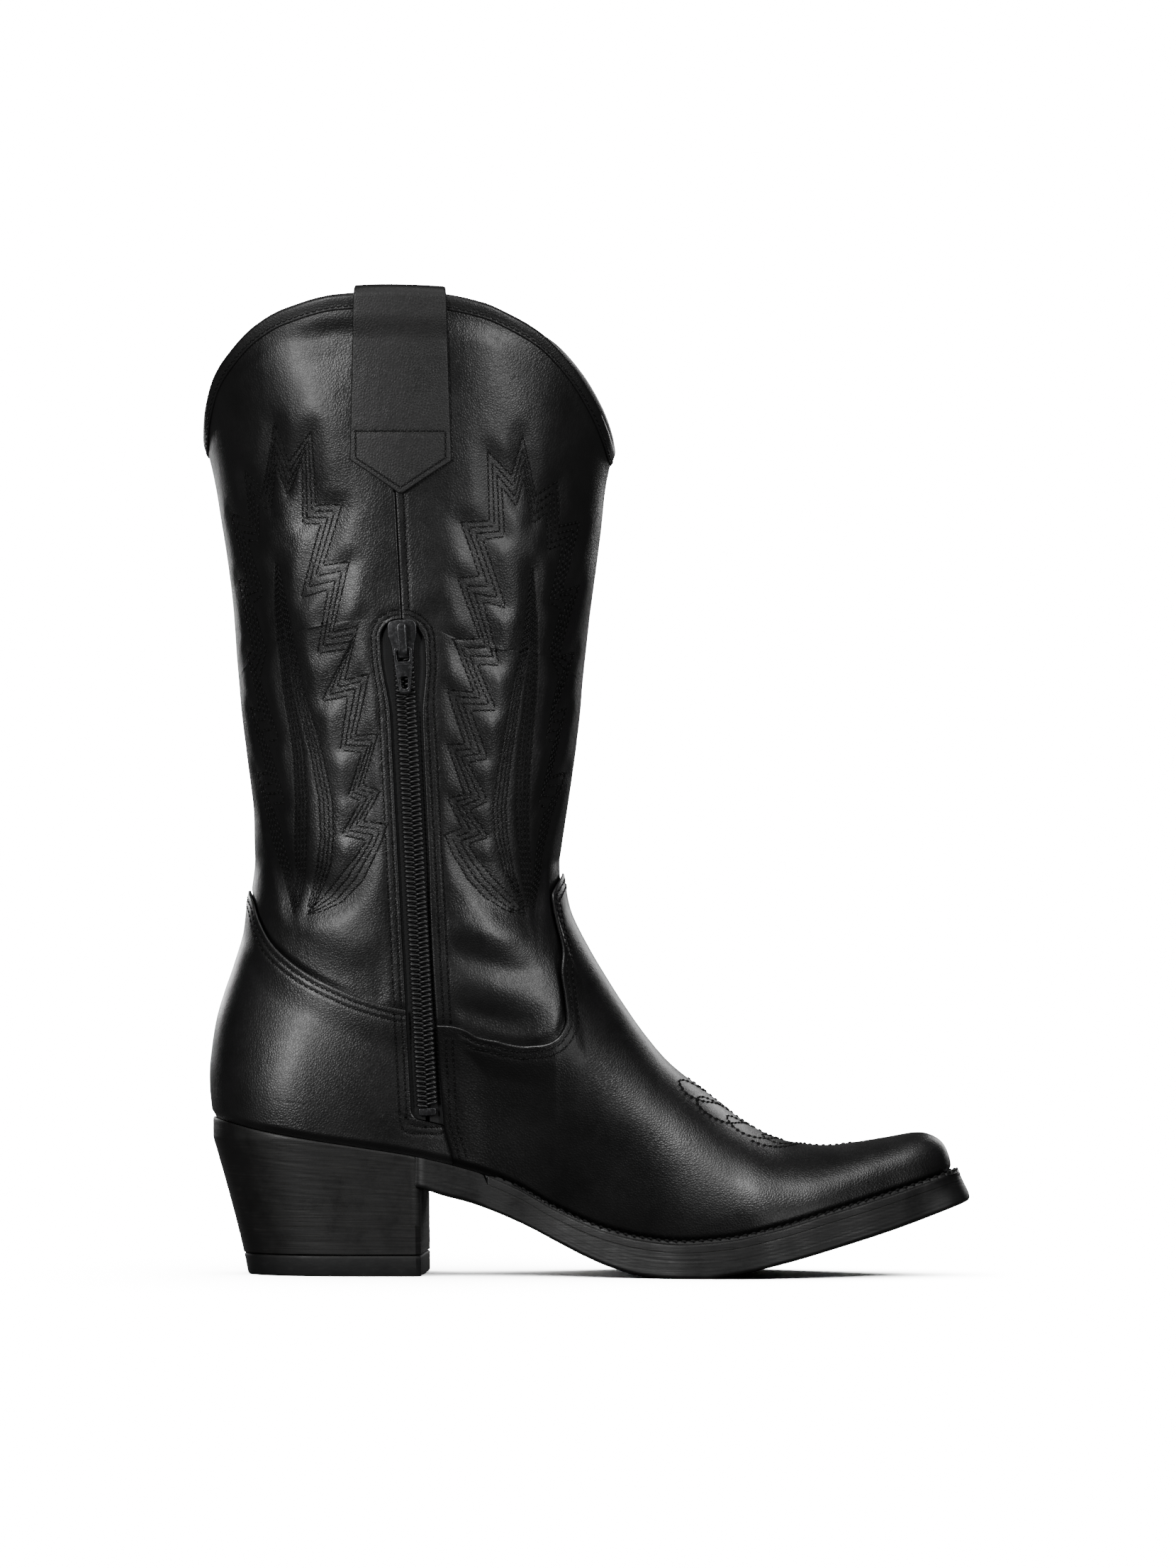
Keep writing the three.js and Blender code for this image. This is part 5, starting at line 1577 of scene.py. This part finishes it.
def sole_side(share, bevel, seed):
    """Inset of the sole's edge at a share of its height."""

    def inset(x):
        taper = SEAT_INSET * at_heel(x)
        toe = toe_bevel(x, share * 0.68)
        return bevel * (1 - at_heel(x)) + taper + toe + scratches(x, seed)

    return inset


def outsole_rings():
    """Bottom face, finely scratched edge, top face."""
    rings = [sole_ring(inset, sole_bottom) for inset in (22, 12, 5, 2.0)]
    rings.append(sole_ring(lambda x: 0.9 + (SEAT_INSET - 0.9) * at_heel(x), sole_bottom))
    steps = 26
    for i in range(steps + 1):
        share = lerp(0.03, 0.995, i / steps)
        bevel = 0.5 * (1 - smoothstep(share, 0.0, 0.12))
        rings.append(sole_ring(sole_side(share, bevel, i * 1.7), between(share)))
    rings.append(sole_ring(lambda x: 0.35 + SEAT_INSET * at_heel(x) + toe_bevel(x, 0.7), outsole_top))
    rings += [sole_ring(inset, outsole_top) for inset in (5, 12, 22)]
    return rings


sole_mesh = ring_stack("outsole_body", outsole_rings())
add_piece("outsole_body", sole_mesh, sole_black, ["outsole"])

WELT_SPAN = SOLE_TOE_X - SEAM_FOOT_X


def welt_edges(turn, inset):
    """Outer edge of the welt drawn in by an inset, and how far it is to the upper there."""
    x = SEAM_FOOT_X + WELT_SPAN * np.cos(turn)
    side = np.where(turn < 0, -1.0, 1.0)
    at = np.stack([x, side * sole_half(x, side)], -1)
    return at + inward_of(np.gradient(at, axis=0)) * inset


# Welt section: (inset from the outer edge, height above the feather line).
WELT_SECTION = [
    (0.1, -3.0), (0.03, -2.7), (0.1, -2.35), (0.02, -2.0), (0.09, -1.6), (0.03, -1.2),
    (0.08, -0.8), (0.04, -0.45), (0.2, -0.12), (0.55, 0.0), (1.4, 0.03),
]
# The storm rib lies against the upper: (distance out from the upper, height).
RIB_SECTION = [
    (2.3, 0.03), (2.0, 0.25), (1.85, 0.7), (1.6, 1.1), (1.1, 1.3), (0.5, 1.25), (-0.2, 1.1), (-1.5, 1.0),
]
RIB_HEIGHT = 1.25
RIB_PITCH = 3.2


def welt_points(turn):
    """Rings along the welt, and the upper's line with the directions out from it."""
    end_fade = smoothstep(np.minimum(turn - turn[0], turn[-1] - turn), 0.0, 0.03)
    rings = []
    x_edge = SEAM_FOOT_X + WELT_SPAN * np.cos(turn)
    for inset, rise in WELT_SECTION:
        at = welt_edges(turn, (inset + toe_bevel(x_edge, 1 + 0.32 * rise / WELT_THICKNESS))[:, None])
        rings.append(np.column_stack([at, feather(at[:, 0]) + rise]))
    outer = welt_edges(turn, 0.0)
    x_in = np.clip(SEAM_FOOT_X + (TOE_X + 1.2 - SEAM_FOOT_X) * np.cos(turn), None, TOE_X + 1.1)
    side = np.where(turn < 0, -1.0, 1.0)
    upper = np.where(side < 0, plan_half(x_in, -1, TOE_X + 1.3), plan_half(x_in, 1, TOE_X + 1.3))
    inner = np.stack([x_in, side * (upper + 0.6)], -1)
    width = np.linalg.norm(outer - inner, axis=1)
    toward = unit(outer - inner)
    run = np.r_[0, np.cumsum(np.linalg.norm(np.diff(inner, axis=0), axis=1))]
    notch = 1 - 0.55 * np.abs(np.cos(run / RIB_PITCH * math.pi)) ** 14
    for out, rise in RIB_SECTION:
        at = inner + toward * np.minimum(out, width - 1.8)[:, None]
        height = 0.03 + (rise - 0.03) * end_fade * notch * RIB_HEIGHT / 1.3
        rings.append(np.column_stack([at, feather(at[:, 0]) + height]))
    for out, rise in ((-1.5, -1.0), (-1.5, -2.95)):
        at = inner + toward * out
        rings.append(np.column_stack([at, feather(at[:, 0]) + rise]))
    return np.array(rings), inner, toward


WELT_TURN = math.acos((WELT_END_X - SEAM_FOOT_X) / WELT_SPAN)
welt_turns = np.linspace(-WELT_TURN, WELT_TURN, 1500)
welt_grid, welt_inner, welt_toward = welt_points(welt_turns)
welt_verts, welt_faces = closed_tube(np.swapaxes(welt_grid, 0, 1))
welt_mesh = new_mesh("welt_body", welt_verts, welt_faces, 55)
add_piece("welt_body", welt_mesh, sole_black, ["welt"])


def welt_thread():
    """Heavy stitches laid along the storm rib."""
    at = welt_inner + welt_toward * 1.35
    run = np.column_stack([at, feather(at[:, 0]) + 1.15])[24:-24]
    return stitch_frames(run, np.tile((0.0, 0.0, 1.0), (len(run), 1)), RIB_PITCH)


add_stitching("welt", [welt_thread()], 0.45, False)

HEEL_SHARE_Z = 50.0
HEEL_LOW_X, HEEL_HIGH_X = -124.6, -137.5
HEEL_CORNER = 1.6


def heel_ring(z_of, inset, count=150):
    """Plan ring of the heel, where z_of gives its height at x. Starts at the breast's middle."""
    share = 0.5 * np.ones(count)
    t = np.linspace(0, math.tau, count, endpoint=False)
    for _ in range(4):
        back = lerp(HEEL_LOW_X, HEEL_HIGH_X, share**1.15)
        front = BREAST_X - 0.6 * share
        x, y = heel_outline(t, back, front, lerp(0.895, 1.0, share))
        share = np.clip(z_of(x) / HEEL_SHARE_Z, 0, 1)
    at = np.stack([x, y], -1)
    depth = inset(x) if callable(inset) else inset
    at = at + ring_inward(at) * np.broadcast_to(depth, x.shape)[:, None]
    return np.column_stack([at, z_of(at[:, 0])])


def heel_outline(t, back, front, widening):
    """Plan of the heel: a straight breast with small rounded corners, and the sole's own back."""
    s = t / math.tau
    breast = np.clip(np.minimum(s, 1 - s) / 0.12, 0, 1)
    flank = np.clip((np.minimum(s, 1 - s) - 0.12) / 0.38, 0, 1)
    turn = flank * math.pi / 2
    side = np.where(s < 0.5, 1.0, -1.0)
    x_flank = lerp(front, back, lerp(flank, np.sin(turn), 0.85))
    near = np.clip((front - x_flank) / HEEL_CORNER, 0, 1)
    y_corner = HEEL_CORNER * (1 - np.sqrt(1 - (1 - near) ** 2))
    y_flank = heel_half(x_flank, side, back) * widening - y_corner
    y_breast = breast * (heel_half(front, side, back) * widening - HEEL_CORNER)
    x = np.where(breast < 1, front, x_flank)
    y = np.where(breast < 1, y_breast, y_flank)
    return x, side * y


def heel_half(x, side, back):
    return plan_half(x, side, SOLE_TOE_X, back) * 1.03


def block_top(x):
    return sole_bottom(x) - 0.03


def heel_rim(x):
    return feather(x) + 0.05


def heel_block_rings():
    """The stack: many thin layers, each trimmed a hair deeper or shallower than the next. Its top
    is a shallow cup that the sole sits in."""
    low = LIFT_HEIGHT + 0.25
    rings = [heel_ring(lambda x: low + 0 * x, inset) for inset in (20, 10, 0.35)]
    steps = 84
    for i in range(steps + 1):
        share = lerp(0.006, 0.99, i / steps)
        rings.append(heel_ring(
            lambda x, s=share: lerp(low, heel_rim(x), s), lambda x, seed=i * 2.3: scratches(x, seed),
        ))
    rings += [heel_ring(heel_rim, inset) for inset in (0.25, SEAT_INSET - 0.1)]
    for inset in (SEAT_INSET, 10, 20):
        rings.append(heel_ring(block_top, inset))
    return rings


def top_lift_rings():
    levels = [(0.0, 20), (0.0, 10), (0.0, 0.8), (0.25, 0.25), (0.9, 0.0), (6.4, 0.0), (7.0, 0.0)]
    levels += [(7.35, 0.12), (7.6, 0.5), (7.6, 10), (7.6, 20)]
    return [heel_ring(lambda x, z=z: z + 0 * x, inset) for z, inset in levels]


stack_mesh = ring_stack("heel_stack", heel_block_rings(), 40)
add_piece("heel_stack", stack_mesh, heel_black, ["heel_block"])
cap_mesh = ring_stack("heel_cap", top_lift_rings(), 40)
add_piece("heel_cap", cap_mesh, lift_black, ["top_lift"])

# ------------------------------------------------------------------ zip

ZIP_AXES = np.array([
    (0.9988917, 0.0, 0.0470677), (-0.0469367, -0.0745430, 0.9961126), (0.0035086, -0.9972178, -0.0744604),
])
ZIP_ORIGIN = np.array((-56.8, -29.501, 57.614))
ZIP_LENGTH = 181.0948
SLIDER_Y = ZIP_LENGTH - 6.2


def from_zip(points):
    return ZIP_ORIGIN + np.asarray(points, float) @ ZIP_AXES


COIL_PITCH = 1.78
COIL_FROM, COIL_TO = 4.2, ZIP_LENGTH - 2.7
COIL_WIRE = 0.42
COIL_REACH = 1.95
COIL_RISE = 0.62
COIL_CENTRE_X, COIL_CENTRE_Z = 1.7, -0.35


def coil_mesh(name, sign):
    """A wire wound flat along the zip, with its turns set between those of the other half."""
    per_turn = 16
    turns = int((COIL_TO - COIL_FROM) / COIL_PITCH)
    t = np.arange(turns * per_turn + 1) / per_turn
    angle = t * math.tau
    flat = np.sign(np.cos(angle)) * np.abs(np.cos(angle)) ** 0.8
    x = sign * (COIL_CENTRE_X - COIL_REACH * flat)
    z = COIL_CENTRE_Z + COIL_RISE * np.sin(angle)
    y = COIL_FROM + (t + (0.25 if sign > 0 else -0.25) + 0.25) * COIL_PITCH
    centre = np.stack([x, y, z], -1)
    ahead = unit(np.gradient(centre, axis=0))
    side = unit(np.cross(ahead, (0.0, 1.0, 0.0)))
    lift = np.cross(side, ahead)
    around = np.arange(6) * math.tau / 6
    rings = centre[:, None] + COIL_WIRE * (
        np.cos(around)[None, :, None] * side[:, None] + 1.25 * np.sin(around)[None, :, None] * lift[:, None]
    )
    verts, faces = closed_tube(rings)
    return new_mesh(name, from_zip(verts), faces)


add_piece("coil_turns_front", coil_mesh("coil_turns_front", 1), coil_black, ["zip_coil_front"])
add_piece("coil_turns_back", coil_mesh("coil_turns_back", -1), coil_black, ["zip_coil_back"])


def tape_turns(in_front):
    def turns(level):
        near = turn_from_seam(0.75, in_front, level)
        far = turn_from_seam(14.0, in_front, level)
        return (-90 + near, -90 + far) if in_front else (270 - far, 270 - near)

    return turns


TAPE_LEVELS = (float(level_of_seam(56.6)), float(level_of_seam(241.0)))


TAPE_SIZE = (13, 184)


def add_tape(name, node, in_front):
    columns, rows = edge_shares(34, TAPE_SIZE[0], (0, 0.1, 0.25)), edge_shares(160, TAPE_SIZE[1])
    grid = sheet_grid(tape_turns(in_front), fixed(*TAPE_LEVELS), columns, rows)

    def offset(at, turn, level):
        away = np.abs(at[..., 0] - seam_x(at[..., 2]))
        cord = 0.35 * np.exp(-(((away - 1.3) / 0.5) ** 2))
        return -1.75 + cord + 0.05 * np.sin(at[..., 2] * 3.5)

    add_sheet(name, node, tape_black, grid, offset, 0.6, columns, rows, TAPE_SIZE, 0.2)


add_tape("woven_tape_front", "zip_tape_front", True)
add_tape("woven_tape_back", "zip_tape_back", False)

GUARD_LEVELS = (float(level_of_seam(59.6)), float(level_of_seam(246.0)))
GUARD_SIZE = (31, 186)


def add_guard():
    columns, rows = edge_shares(30, GUARD_SIZE[0]), edge_shares(60, GUARD_SIZE[1])
    b, a = np.meshgrid(rows, columns, indexing="ij")
    level = lerp(*GUARD_LEVELS, b)
    near, far = turn_from_seam(10.0, True, level), turn_from_seam(21.0, False, level)
    turn = lerp(-90 - far, -90 + near, a)
    sink = lerp(3.8, 5.6, smoothstep(a, 0, 0.35)) + 0.15 * np.sin(b * 37) * np.sin(a * 5)
    drop = rounded(border_distance(rows, columns, *GUARD_SIZE), 0.35)
    outer = skin_offset(turn, level, -sink - drop)
    inner = skin_offset(turn, level, -sink - 0.8)
    mesh = shell("guard_leather", outer, inner)
    add_piece("guard_leather", mesh, lining_black, ["zip_guard"])


add_guard()


def curve_plate(name, outlines, thick, bevel, centre_z):
    """Flat plate from closed outlines (the first outside, the rest holes), with rounded edges."""
    curve = bpy.data.curves.new(name, "CURVE")
    curve.dimensions = "2D"
    curve.fill_mode = "BOTH"
    curve.extrude = thick / 2 - bevel
    curve.bevel_depth = bevel
    curve.bevel_resolution = 3
    curve.offset = -bevel
    for outline in outlines:
        spline = curve.splines.new("POLY")
        spline.points.add(len(outline) - 1)
        for point, (x, y) in zip(spline.points, outline, strict=True):
            point.co = (x, y, 0, 1)
        spline.use_cyclic_u = True
    holder = bpy.data.objects.new(name + "_curve", curve)
    mesh = bpy.data.meshes.new_from_object(holder)
    bpy.data.objects.remove(holder)
    bpy.data.curves.remove(curve)
    at = np.empty(len(mesh.vertices) * 3)
    mesh.vertices.foreach_get("co", at)
    at = at.reshape(-1, 3) + (0, 0, centre_z)
    faces = [tuple(p.vertices) for p in mesh.polygons]
    bpy.data.meshes.remove(mesh)
    return welded(at, faces)


def welded(at, faces):
    """Shared points for faces that meet, as (points, faces by size)."""
    keys, index = np.unique(np.round(at, 4), axis=0, return_inverse=True)
    index = index.reshape(-1)
    by_size = {}
    for face in faces:
        joined = tuple(dict.fromkeys(int(index[i]) for i in face))
        if len(joined) > 2:
            by_size.setdefault(len(joined), []).append(joined)
    return keys, [np.array(f) for f in by_size.values()]


def rounded_outline(points, radius, steps=5):
    """A closed outline with its corners rounded."""
    p = np.array(points, float)
    out = []
    for i in range(len(p)):
        back, here, ahead = p[i - 1], p[i], p[(i + 1) % len(p)]
        a, b = unit(back - here), unit(ahead - here)
        reach = min(radius, 0.45 * np.linalg.norm(back - here), 0.45 * np.linalg.norm(ahead - here))
        start, end = here + a * reach, here + b * reach
        for t in np.linspace(0, 1, steps):
            out.append((1 - t) ** 2 * start + 2 * t * (1 - t) * here + t * t * end)
    return np.array(out)


def mirrored_outline(right):
    right = np.array(right, float)
    return np.concatenate([right, right[::-1] * (-1, 1)])


def pillow(width_of, y0, y1, z0, z1, rows, dome=0.5):
    """A domed bar along y: closed tube with a rounded section, as (verts, faces)."""
    rings = []
    around = np.arange(24) * math.tau / 24
    for s in np.linspace(0, 1, rows):
        end = np.clip(min(s, 1 - s) / 0.12, 0.0, 1)
        grow = 0.55 + 0.45 * math.sqrt(1 - (1 - end) ** 2)
        half_x, half_z = width_of(s) * grow, (z1 - z0) / 2 * grow
        x = np.sign(np.cos(around)) * np.abs(np.cos(around)) ** dome * half_x
        z = (z0 + z1) / 2 + np.sign(np.sin(around)) * np.abs(np.sin(around)) ** dome * half_z
        rings.append(np.column_stack([x, np.full(24, lerp(y0, y1, s)), z]))
    return closed_tube(np.array(rings)[:, ::-1])


def solid_box(low, high, bevel):
    """Box with rounded long edges, from a plan outline along z."""
    (x0, y0, z0), (x1, y1, z1) = low, high
    outline = rounded_outline([(x0, y0), (x1, y0), (x1, y1), (x0, y1)], 0.8)
    return curve_plate("box", [outline], z1 - z0, bevel, (z0 + z1) / 2)


def slider_parts():
    right = [(3.3, -7), (3.9, -5.4), (4.2, -2), (5.3, 1.2), (5.3, 5.2), (4.4, 6.6), (2.2, 7)]
    plan = rounded_outline(mirrored_outline(right), 1.2)
    parts = [
        curve_plate("slider_top", [plan], 1.25, 0.4, 1.05),
        curve_plate("slider_back", [plan], 1.1, 0.3, -3.5),
        solid_box((-0.35, 1, -3.2), (0.35, 5.6, 1.0), 0.1),
        solid_box((-1.5, -5.7, 1.0), (1.5, -4.5, 3.5), 0.25),
        solid_box((-1.5, 4.5, 1.0), (1.5, 5.7, 3.5), 0.25),
    ]
    parts.append(pillow(lambda s: lerp(1.8, 1.5, abs(2 * s - 1)), -5.85, 5.85, 3.15, 4.0, 22))
    for sign in (-1, 1):
        verts, faces = pillow(lambda s: 0.42, -5.2, 5.2, 3.6, 4.25, 16, 0.8)
        parts.append((verts + (sign * 1.28, 0, 0), faces))
        verts, faces = pillow(lambda s: 0.45, 0.6, 6.0, -2.2, 0.9, 10, 0.7)
        parts.append((verts + (sign * 4.85, 0, 0), faces))
    return parts


def add_zip_solid(name, parts, offset, node, body):
    """A metal piece from parts that are set out in the zip's own frame."""
    verts, faces = merged([(v + offset, f) for v, f in parts])
    add_piece(name, new_mesh(name, from_zip(verts), faces, 40), zip_metal, [node], body)


add_zip_solid("slider_casting", slider_parts(), np.array((0, SLIDER_Y, 0)), "slider_body", "slider")

HINGE_Y, HINGE_Z = SLIDER_Y - 3.4, 2.4


def puller_parts():
    outside = rounded_outline(mirrored_outline([(2, -16.5), (2.6, -12), (3.35, -5.2), (3.4, 0.5)]), 1.3)
    bridge_window = rounded_outline([(-2.2, -0.6), (-2.2, -4.6), (2.2, -4.6), (2.2, -0.6)], 0.9)
    end_window = rounded_outline([(-1.35, -10.2), (-1.1, -14.6), (1.1, -14.6), (1.35, -10.2)], 0.9)
    rim = rounded_outline(mirrored_outline([(1.75, -15.9), (2.2, -12), (2.75, -6.4), (2.6, -5.6)]), 0.9)
    inner = rounded_outline(mirrored_outline([(1.45, -15.5), (1.9, -12), (2.35, -6.8), (2.1, -6.1)]), 0.8)
    plate = curve_plate("puller_plate", [outside, bridge_window, end_window], 1.0, 0.28, 0.0)
    raised = curve_plate("puller_rim", [rim, inner], 1.16, 0.1, 0.0)
    return [plate, raised]


add_zip_solid("puller_plate", puller_parts(), np.array((0, HINGE_Y, HINGE_Z)), "puller", "puller")

STOPS = [
    ("stop_clip_low", "bottom_stop", (-3.2, 1.0), (3.2, 3.8)),
    ("stop_clip_front", "top_stop_front", (0.8, 178.7), (3.6, 180.7)),
    ("stop_clip_back", "top_stop_back", (-3.6, 178.7), (-0.8, 180.7)),
]
for name, node, low, high in STOPS:
    part = solid_box((*low, -1.35), (*high, 0.3), 0.35)
    add_zip_solid(name, [part], np.zeros(3), node, "boot")

# ------------------------------------------------------------------ pieces kept from the CAD

KEPT = {
    steel_grey: ["heel_screw", "heel_nail_1", "heel_nail_2", "heel_nail_3", "heel_nail_4", "shank"],
    board_tan: ["insole_board"],
    cork_brown: ["bottom_filler", "heel_pad"],
    lining_black: ["sock_liner"],
    tape_black: ["seam_tape_lateral", "seam_tape_medial"],
}
for material, nodes in KEPT.items():
    for node in nodes:
        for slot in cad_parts[node].material_slots:
            slot.link = "OBJECT"
            slot.material = material

# ------------------------------------------------------------------ studio

CAMERA_TURN = 3.0
CAMERA_DISTANCE = 4.0
FRAME_HEIGHT = 0.5737
AIM_HEIGHT = 0.1792
SENSOR = 36
FLOOR_HALF = 60.0
FLOOR_Z = -0.05  # millimetres
FLOOR_LIGHT = 60.0
BOUNCE = (0.004, 0.004, 0.004)
WORLD_SEEN, WORLD_FILL = 20.0, 0.03


def floor_material():
    """Pale where the camera sees it, dark for the light it would throw on the boot."""
    n = Nodes("pale_floor")
    n.bumps((n.noise(0.02, 3.0), 0.02, 0.2))
    seen = n.add("ShaderNodeLightPath").outputs["Is Camera Ray"]
    pale = n.blend(n.noise(0.002, 2.0), (0.9, 0.9, 0.9), (0.93, 0.93, 0.93))
    mix = n.add("ShaderNodeMix", data_type="RGBA")
    n.link(seen, mix.inputs["Factor"])
    mix.inputs[6].default_value = (*BOUNCE, 1)
    n.link(pale, mix.inputs[7])
    return n.finish(mix.outputs[2], Roughness=0.9, Specular_IOR_Level=0.0)


def receivers(name, things):
    """A collection of the things that one light is meant for."""
    group = bpy.data.collections.new(name)
    for thing in things:
        group.objects.link(thing)
    return group


def add_floor():
    half = FLOOR_HALF / MM
    corners = [(x * half, y * half, FLOOR_Z) for x, y in ((-1, -1), (1, -1), (1, 1), (-1, 1))]
    floor = bpy.data.objects.new("floor", new_mesh("floor", corners, [np.array([[0, 1, 2, 3]])]))
    floor.data.materials.append(floor_material())
    bpy.context.scene.collection.objects.link(floor)
    light = bpy.data.lights.new("floor_light", "SUN")
    light.energy = FLOOR_LIGHT
    light.angle = math.radians(100)
    lamp = bpy.data.objects.new("floor_light", light)
    bpy.context.scene.collection.objects.link(lamp)
    lamp.light_linking.receiver_collection = receivers("floor_only", [floor])


def add_world():
    """White where the camera sees it, dim grey for everything it lights."""
    world = bpy.data.worlds.new("studio")
    world.use_nodes = True
    tree = world.node_tree
    tree.nodes.clear()
    seen = tree.nodes.new("ShaderNodeBackground")
    seen.inputs["Color"].default_value = (1, 1, 1, 1)
    seen.inputs["Strength"].default_value = WORLD_SEEN
    fill = tree.nodes.new("ShaderNodeBackground")
    fill.inputs["Color"].default_value = (1, 1, 1, 1)
    fill.inputs["Strength"].default_value = WORLD_FILL
    path = tree.nodes.new("ShaderNodeLightPath")
    mix = tree.nodes.new("ShaderNodeMixShader")
    output = tree.nodes.new("ShaderNodeOutputWorld")
    tree.links.new(path.outputs["Is Camera Ray"], mix.inputs[0])
    tree.links.new(fill.outputs[0], mix.inputs[1])
    tree.links.new(seen.outputs[0], mix.inputs[2])
    tree.links.new(mix.outputs[0], output.inputs["Surface"])
    bpy.context.scene.world = world


def add_area(name, at, aim, size, power, only):
    light = bpy.data.lights.new(name, "AREA")
    light.shape = "RECTANGLE"
    light.size, light.size_y = size
    light.energy = power
    lamp = bpy.data.objects.new(name, light)
    lamp.location = at
    lamp.rotation_euler = (Vector(aim) - Vector(at)).to_track_quat("-Z", "Y").to_euler()
    bpy.context.scene.collection.objects.link(lamp)
    lamp.light_linking.receiver_collection = only


def add_camera():
    data = bpy.data.cameras.new("camera")
    data.lens = SENSOR / FRAME_HEIGHT * CAMERA_DISTANCE
    data.sensor_fit = "VERTICAL"
    data.sensor_height = SENSOR
    data.clip_end = 200
    camera = bpy.data.objects.new("camera", data)
    aim = Vector((0.0, 0.0, AIM_HEIGHT))
    turn = math.radians(CAMERA_TURN)
    camera.location = aim + Vector((math.sin(turn), -math.cos(turn), 0)) * CAMERA_DISTANCE
    camera.rotation_euler = (aim - camera.location).to_track_quat("-Z", "Y").to_euler()
    bpy.context.scene.collection.objects.link(camera)
    bpy.context.scene.camera = camera


boot = [thing for thing in bpy.data.objects if thing.type == "MESH"]
all_but_vamp = receivers("all_but_vamp", [b for b in boot if not b.name.startswith("vamp")])
vamp_only = receivers("vamp_only", [b for b in boot if b.name.startswith("vamp")])
# Name, place, aim, width and height, power, and what it lights (None for everything).
SOFTBOXES = [
    ("left_softbox", (-0.9, -1.45, 0.6), (-0.04, 0, 0.24), (0.24, 0.9), 20, all_but_vamp),
    ("right_softbox", (0.95, -1.4, 0.6), (-0.02, 0, 0.24), (0.24, 0.9), 13, all_but_vamp),
    ("instep_softbox", (-0.1, -1.0, 1.5), (0, 0, 0.06), (0.9, 0.3), 24, vamp_only),
    ("vamp_fill", (0.9, -1.6, 0.5), (0, 0, 0.06), (0.5, 0.5), 4, vamp_only),
    ("top_softbox", (0.1, -0.6, 1.8), (0, 0, 0.1), (1.2, 0.5), 10, None),
    ("back_left_softbox", (-1.0, 1.4, 0.8), (0, 0, 0.2), (0.4, 1.1), 26, None),
    ("back_right_softbox", (0.8, 1.6, 0.8), (0, 0, 0.2), (0.4, 1.1), 9, None),
]
add_floor()
add_world()
for softbox in SOFTBOXES:
    add_area(*softbox)
add_camera()
